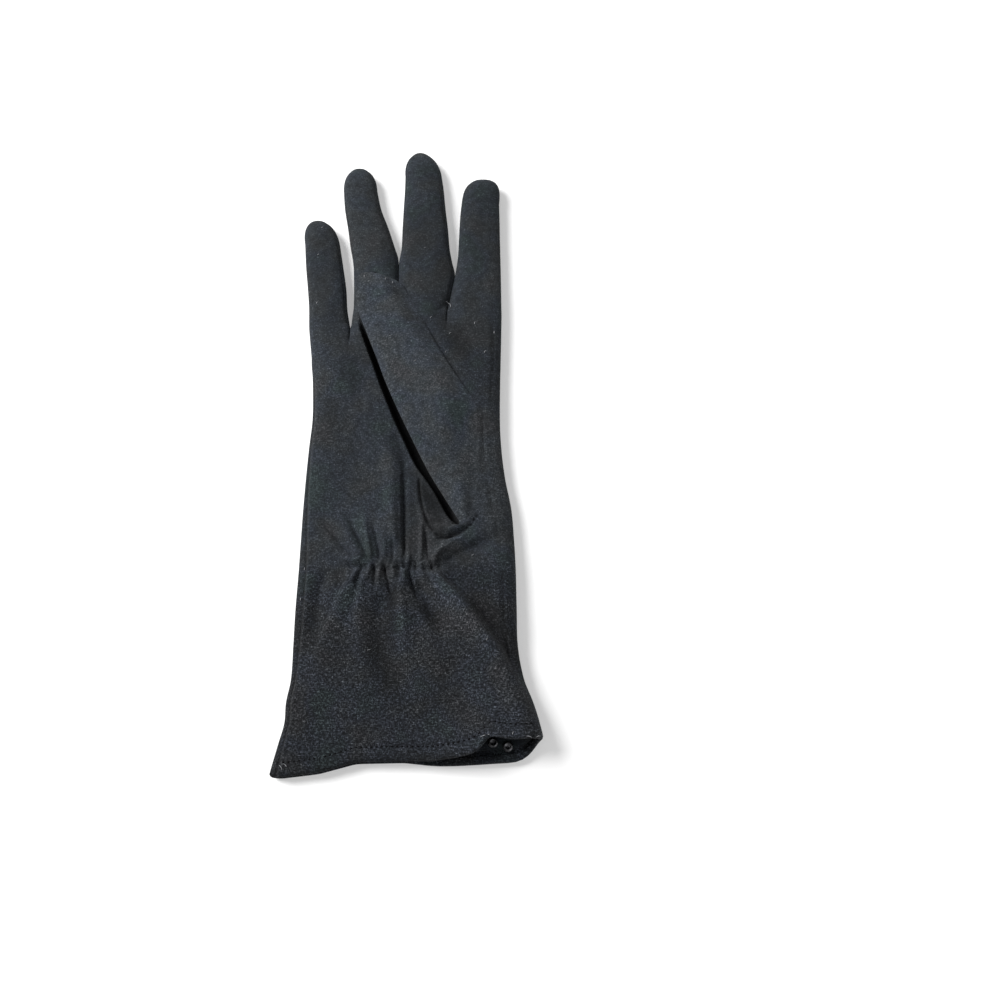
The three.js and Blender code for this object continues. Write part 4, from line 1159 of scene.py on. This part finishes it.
def thumb_surface():
    """The thumb's top and underside as rows from its foot to its tip, each from left to right.

    A row's height is mixed between its side seams and its top or underside by the rounding, whose reach
    is the table's on each side. Where the thumb melts into the palm its right side is a smoothstep instead.
    Towards the foot and the tip the rows shrink by a superellipse. The last result is the top's painted
    light: lighter all over, more on its right flank, which faces away from the light, and at its tip painted
    shade on the left and painted light on the right.
    """
    first, last = THUMB["y"][0], THUMB["y"][-1]
    foot = np.sin(np.linspace(-math.pi / 2, 0, THUMB_GRID["foot"]))[:-1]
    body = np.linspace(0, 1, THUMB_GRID["body"])
    tip = np.sin(np.linspace(0, math.pi / 2, THUMB_GRID["tip"]))[1:]
    foot_y, tip_y = first + (first - THUMB_FOOT[1]) * foot, mix(last, THUMB_TIP[1], tip)
    y = np.concatenate([foot_y, mix(first, last, body), tip_y])
    u = np.concatenate([-foot, np.zeros(len(body)), tip])
    power = np.where(y < first, THUMB_POWER["foot"], THUMB_POWER["tip"])
    keep = (1 - u ** power) ** (1 / power)
    end_x = np.where(y < first, THUMB_FOOT[0], THUMB_TIP[0])
    row = {name: smooth(THUMB, name, y)[:, None] for name in THUMB if name != "y"}
    middle = mix((row["left"] + row["right"]) / 2, end_x[:, None], u[:, None])
    half = (row["right"] - row["left"]) / 2 * keep[:, None]
    f = (1 - np.cos(np.linspace(0, math.pi, THUMB_GRID["across"]))) / 2
    x = middle + half * (2 * f - 1)
    from_left, from_right = 2 * half * f, 2 * half * (1 - f)
    reach = np.minimum(row["roundRight"] * keep[:, None], half * 1.2)
    right = mix(rounding(from_right, reach), ease(from_right / np.maximum(reach, 1e-6)), row["melt"])
    rise = np.minimum(rounding(from_left, np.minimum(row["roundLeft"] * keep[:, None], half)), right)
    seam = mix(row["seamLeft"], row["seamRight"], f)
    high = mix(row["highLeft"], row["highMid"], ease(f / 0.5))
    high = mix(high, row["highRight"], ease((f - 0.5) / 0.5))
    wide_y = np.broadcast_to(y[:, None], x.shape)
    soft = 0.3 * waves(x, wide_y, 24, 12) + 0.12 * waves(x, wide_y, 9, 13)
    top = mix(seam, high + soft, rise * keep[:, None])
    under = mix(seam, row["low"] + np.zeros(x.shape), rise * keep[:, None])
    free = FLANK_PAINTED_LIGHT["free"] * (1 - row["melt"]) * bell(from_right / FLANK_PAINTED_LIGHT["free_wide"])
    inner = bell((from_right - FLANK_PAINTED_LIGHT["melted_from"]) / FLANK_PAINTED_LIGHT["melted_wide"])
    flank = free + FLANK_PAINTED_LIGHT["melted"] * row["melt"] ** 2 * inner
    upper = np.stack([x, wide_y, top], axis=-1)
    lower = np.stack([x, wide_y, under], axis=-1)
    tip_shade_and_light = mix(1, mix(*THUMB_TIP_SHADE_AND_LIGHT, f), ease((wide_y - 50) / 12))
    return upper, lower, THUMB_PAINTED_LIGHT * (1 + flank) * tip_shade_and_light


THUMB_GRAIN = math.atan2(THUMB_TIP[0] - THUMB_FOOT[0], THUMB_TIP[1] - THUMB_FOOT[1])


def thumb_cloth(points, side):
    """The knit runs along the thumb's own axis."""
    c, s = math.cos(THUMB_GRAIN), math.sin(THUMB_GRAIN)
    x, y = points[..., 0], points[..., 1]
    return np.stack([x * c - y * s + side * 70, x * s + y * c], axis=-1)


def thumb_opening(top, under):
    """Where the underside is left open: at the root, where it melts into the palm, and where walls cross."""
    x, y = under[..., 0], under[..., 1]
    left, right = smooth(THUMB, "left", y), smooth(THUMB, "right", y)
    root = (x - left > UNDERSIDE["root"]) & (y < THUMB_OPEN[1] + 1)
    upwards = ease((y - UNDERSIDE["from"]) / UNDERSIDE["over"])
    reach = mix(UNDERSIDE["low"], UNDERSIDE["high"], upwards)
    melted = (right - x < np.minimum(reach, UNDERSIDE["share"] * (right - left))) & (y < THUMB_END)
    right_half = np.arange(under.shape[1]) > under.shape[1] // 2
    crossing = (top[..., 2] - under[..., 2] < WALLS_CLEAR) & right_half & (y > UNDERSIDE["crosses"])
    return root | melted | crossing


thumb_top, thumb_under, thumb_shade = thumb_surface()
thumb = mesh_piece("thumb_knit", [
    {"points": thumb_top, "cloth": thumb_cloth(thumb_top, 0), "shade": thumb_shade, "grain": GRAIN["thumb"]},
    {"points": thumb_under, "cloth": thumb_cloth(thumb_under, 1), "shade": UNDER_TONE, "flip": True,
     "keep": ~thumb_opening(thumb_top, thumb_under)},
], knit)
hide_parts("thumb")


# The hem's turned-in layer.


def hem_band(g, upper):
    """The layer inside the cuff's edge: the wall's surface moved in by the fold, facing the hollow."""
    points = sewn_share(g, upper, BACK_FINE)
    n = normals(points) * (1 if upper else -1)
    middle_y = points[:, points.shape[1] // 2, 1]
    rows = middle_y < middle_y[0] + HEM_BAND
    return (points - n * 2 * HEM_FOLD)[rows][2:]


hem_grids = []
for g in range(4):
    for side in (True, False):
        band = hem_band(g, side)
        hem_grids.append({"points": band, "cloth": cloth_coordinates(band), "flip": side, "shade": HEM_SHADE})
hem = mesh_piece("hem_layer", hem_grids, knit, HEM_THICK)
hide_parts("cuff_hem")


# The hem's stitches and the loose fibres.

tops = [grid["points"][grid["keep"]] for grid in palm_grids]
TOP = np.concatenate([*tops, thumb_top.reshape(-1, 3)])


def seat(x, y):
    """Height of the upper cloth at each place: that of its highest point near there, or of the nearest."""
    away = np.hypot(TOP[:, 0] - x[:, None], TOP[:, 1] - y[:, None])
    highest = np.where(away < SEAT_REACH, TOP[:, 2], 0).max(axis=1)
    return np.maximum(highest, TOP[away.argmin(axis=1), 2])


def strand(path, radius):
    """A round strand along a path: circles square to it, with a radius that falls to 0 at its ends."""
    tangent = np.gradient(path, axis=0)
    across = np.cross(tangent, [0.0, 0.0, 1.0])
    across /= np.linalg.norm(across, axis=1, keepdims=True)
    up = np.cross(across, tangent)
    up /= np.linalg.norm(up, axis=1, keepdims=True)
    s = np.linspace(-1, 1, len(path))
    angle = np.linspace(0, 2 * math.pi, 7)[:, None]
    ring = across[:, None] * np.cos(angle) + up[:, None] * np.sin(angle)
    return path[:, None] + radius * np.sqrt(1 - s ** 2)[:, None, None] * ring


def hem_stitch(centre, name):
    """One stitch of the hem: a short strand along the stitch line whose ends dive into the cloth."""
    s = np.linspace(-1, 1, 7)
    x = centre + s * STITCH_LONG / 2
    y = softened_hem(x, name) + HEM_STITCH
    dive = 0.05 + 0.25 * s ** 2
    if name == "palm":
        z = seat(x, y) - dive
    else:
        sides = smooth(HAND, "left", y), smooth(HAND, "right", y)
        z = np.maximum(cloth_height(1, x, y, False, 1.0, sides) + dive, STITCH_THICK)
    return strand(np.stack([x, y, z], axis=-1), STITCH_THICK / 2)


def loose_fibre(i):
    """One fibre of the table: a strand along a shallow parabola that lies on the cloth."""
    s = np.linspace(-1, 1, 9)
    turn = math.radians(FIBRES["turn"][i])
    along, aside = s * FIBRES["long"][i] / 2, FIBRES["bow"][i] * (1 - s ** 2)
    x = FIBRES["x"][i] + along * math.cos(turn) - aside * math.sin(turn)
    y = FIBRES["y"][i] + along * math.sin(turn) + aside * math.cos(turn)
    return strand(np.stack([x, y, seat(x, y) + 0.05], axis=-1), FIBRE_THICK / 2)


def strands_piece(name, strands, material):
    """All strands of one kind as one piece, with no wall added."""
    grids = [{"points": points, "cloth": points[..., :2], "flip": True} for points in strands]
    return mesh_piece(name, grids, material, 0)


stitches = []
for layer, half_run in STITCHED.items():
    count = int(half_run / STITCH_PITCH)
    stitches += [hem_stitch(k * STITCH_PITCH, layer) for k in range(-count, count + 1)]
strands_piece("hem_stitches", stitches, thread)
strands_piece("loose_fibres", [loose_fibre(i) for i in range(len(FIBRES["x"]))], lint)


# The studs.


def turned(profile, centre):
    """A profile of radius and height carried round a standing axis."""
    angle = np.linspace(0, 2 * math.pi, 41)
    radius, height = profile[:, 0][:, None], profile[:, 1][:, None]
    x = centre[0] + radius * np.cos(angle)
    y = centre[1] + radius * np.sin(angle)
    return np.stack([x, y, height + 0 * angle], axis=-1)


def stud_profile(low, high, radius):
    """From the middle of the domed cap outside, round its rim, up the shank and over the clenched back."""
    cap_rim, back_rim = low + 1.2, high - 0.95
    turn = np.linspace(0, math.pi / 2, 9)
    cap = np.stack([radius * np.sin(turn), low + 0.9 * (1 - np.cos(turn))], axis=1)
    rim = np.array([[radius, cap_rim - 0.1], [radius - 0.12, cap_rim], [0.8, cap_rim]])
    shank = np.array([[0.75, cap_rim + 0.1], [0.75, back_rim - 0.1],
                      [0.8, back_rim], [radius - 0.15, back_rim]])
    clench = np.array([[radius, back_rim + 0.15], [radius, back_rim + 0.4], [radius - 0.3, high - 0.18],
                       [radius - 0.8, high], [radius - 1.15, high - 0.16], [radius - 1.4, high - 0.42],
                       [0.25, high - 0.48], [0.0, high - 0.46]])
    return np.concatenate([cap, rim, shank, clench])


for name, (low, high) in zip(STUDS, stud_boxes):
    centre = np.array([(low.x + high.x) / 2, (low.y + high.y) / 2]) / MM - SHIFT[:2]
    radius = (high.y - low.y) / 2 / MM
    points = turned(stud_profile(low.z / MM, high.z / MM, radius), centre)
    stud_grid = {"points": points, "cloth": points[..., :2], "flip": True}
    piece = mesh_piece(name + "_metal", [stud_grid], metal, 0)
    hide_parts(name)


# The floor, the light and the camera.


def area_light(name, place, aim, size, power):
    """A round light that faces the place aimed at, in metres and watts."""
    data = bpy.data.lights.new(name, "AREA")
    data.shape = "DISK"
    data.size = size
    data.energy = power
    light = placed(name, data)
    light.location = place
    light.rotation_mode = "QUATERNION"
    light.rotation_quaternion = (Vector(aim) - Vector(place)).to_track_quat("-Z", "Y")


FLOOR = 3.0  # half its width, in metres
floor_mesh = bpy.data.meshes.new("floor")
floor_corners = [(-FLOOR, -FLOOR, 0), (FLOOR, -FLOOR, 0), (FLOOR, FLOOR, 0), (-FLOOR, FLOOR, 0)]
floor_mesh.from_pydata(floor_corners, [], [(0, 1, 2, 3)])
floor = placed("floor", floor_mesh)
floor_material, _, _, floor_shader = node_tree("floor_paper")
floor_shader.inputs["Base Color"].default_value = (*grey(0.68), 1)
floor_shader.inputs["Roughness"].default_value = 0.9
floor_shader.inputs["Emission Color"].default_value = (1, 1, 1, 1)
floor_shader.inputs["Emission Strength"].default_value = 0.32  # lifts it to the photo's white
floor_mesh.materials.append(floor_material)
floor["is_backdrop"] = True

area_light("key", (-0.82, 0.34, 0.78), (0, -0.02, 0), 0.75, 27)
area_light("fill", (0.7, -0.5, 0.9), (0, 0, 0), 1.2, 3)

world = bpy.data.worlds.new("studio")
world.use_nodes = True
world.node_tree.nodes["Background"].inputs["Color"].default_value = (1, 1, 1, 1)
world.node_tree.nodes["Background"].inputs["Strength"].default_value = 0.3
bpy.context.scene.world = world
bpy.context.scene.view_settings.view_transform = "Standard"

# The camera that was fitted to the photo: the place it aims at, its distance and its angle above the table.
AIM = np.array([36.26, -28.11, 0.0]) * MM
AWAY, ELEVATION = 0.5, math.radians(70)
camera_data = bpy.data.cameras.new("camera")
camera_data.sensor_width = 36
camera_data.lens = 42.4  # a focal length of 1178 pixels in a frame of 1000
camera = placed("camera", camera_data)
camera.location = AIM + AWAY * np.array([0, -math.cos(ELEVATION), math.sin(ELEVATION)])
camera.rotation_euler = (math.pi / 2 - ELEVATION, 0, 0)
camera_data.clip_start, camera_data.clip_end = 0.01, 10
bpy.context.scene.camera = camera

low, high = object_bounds()
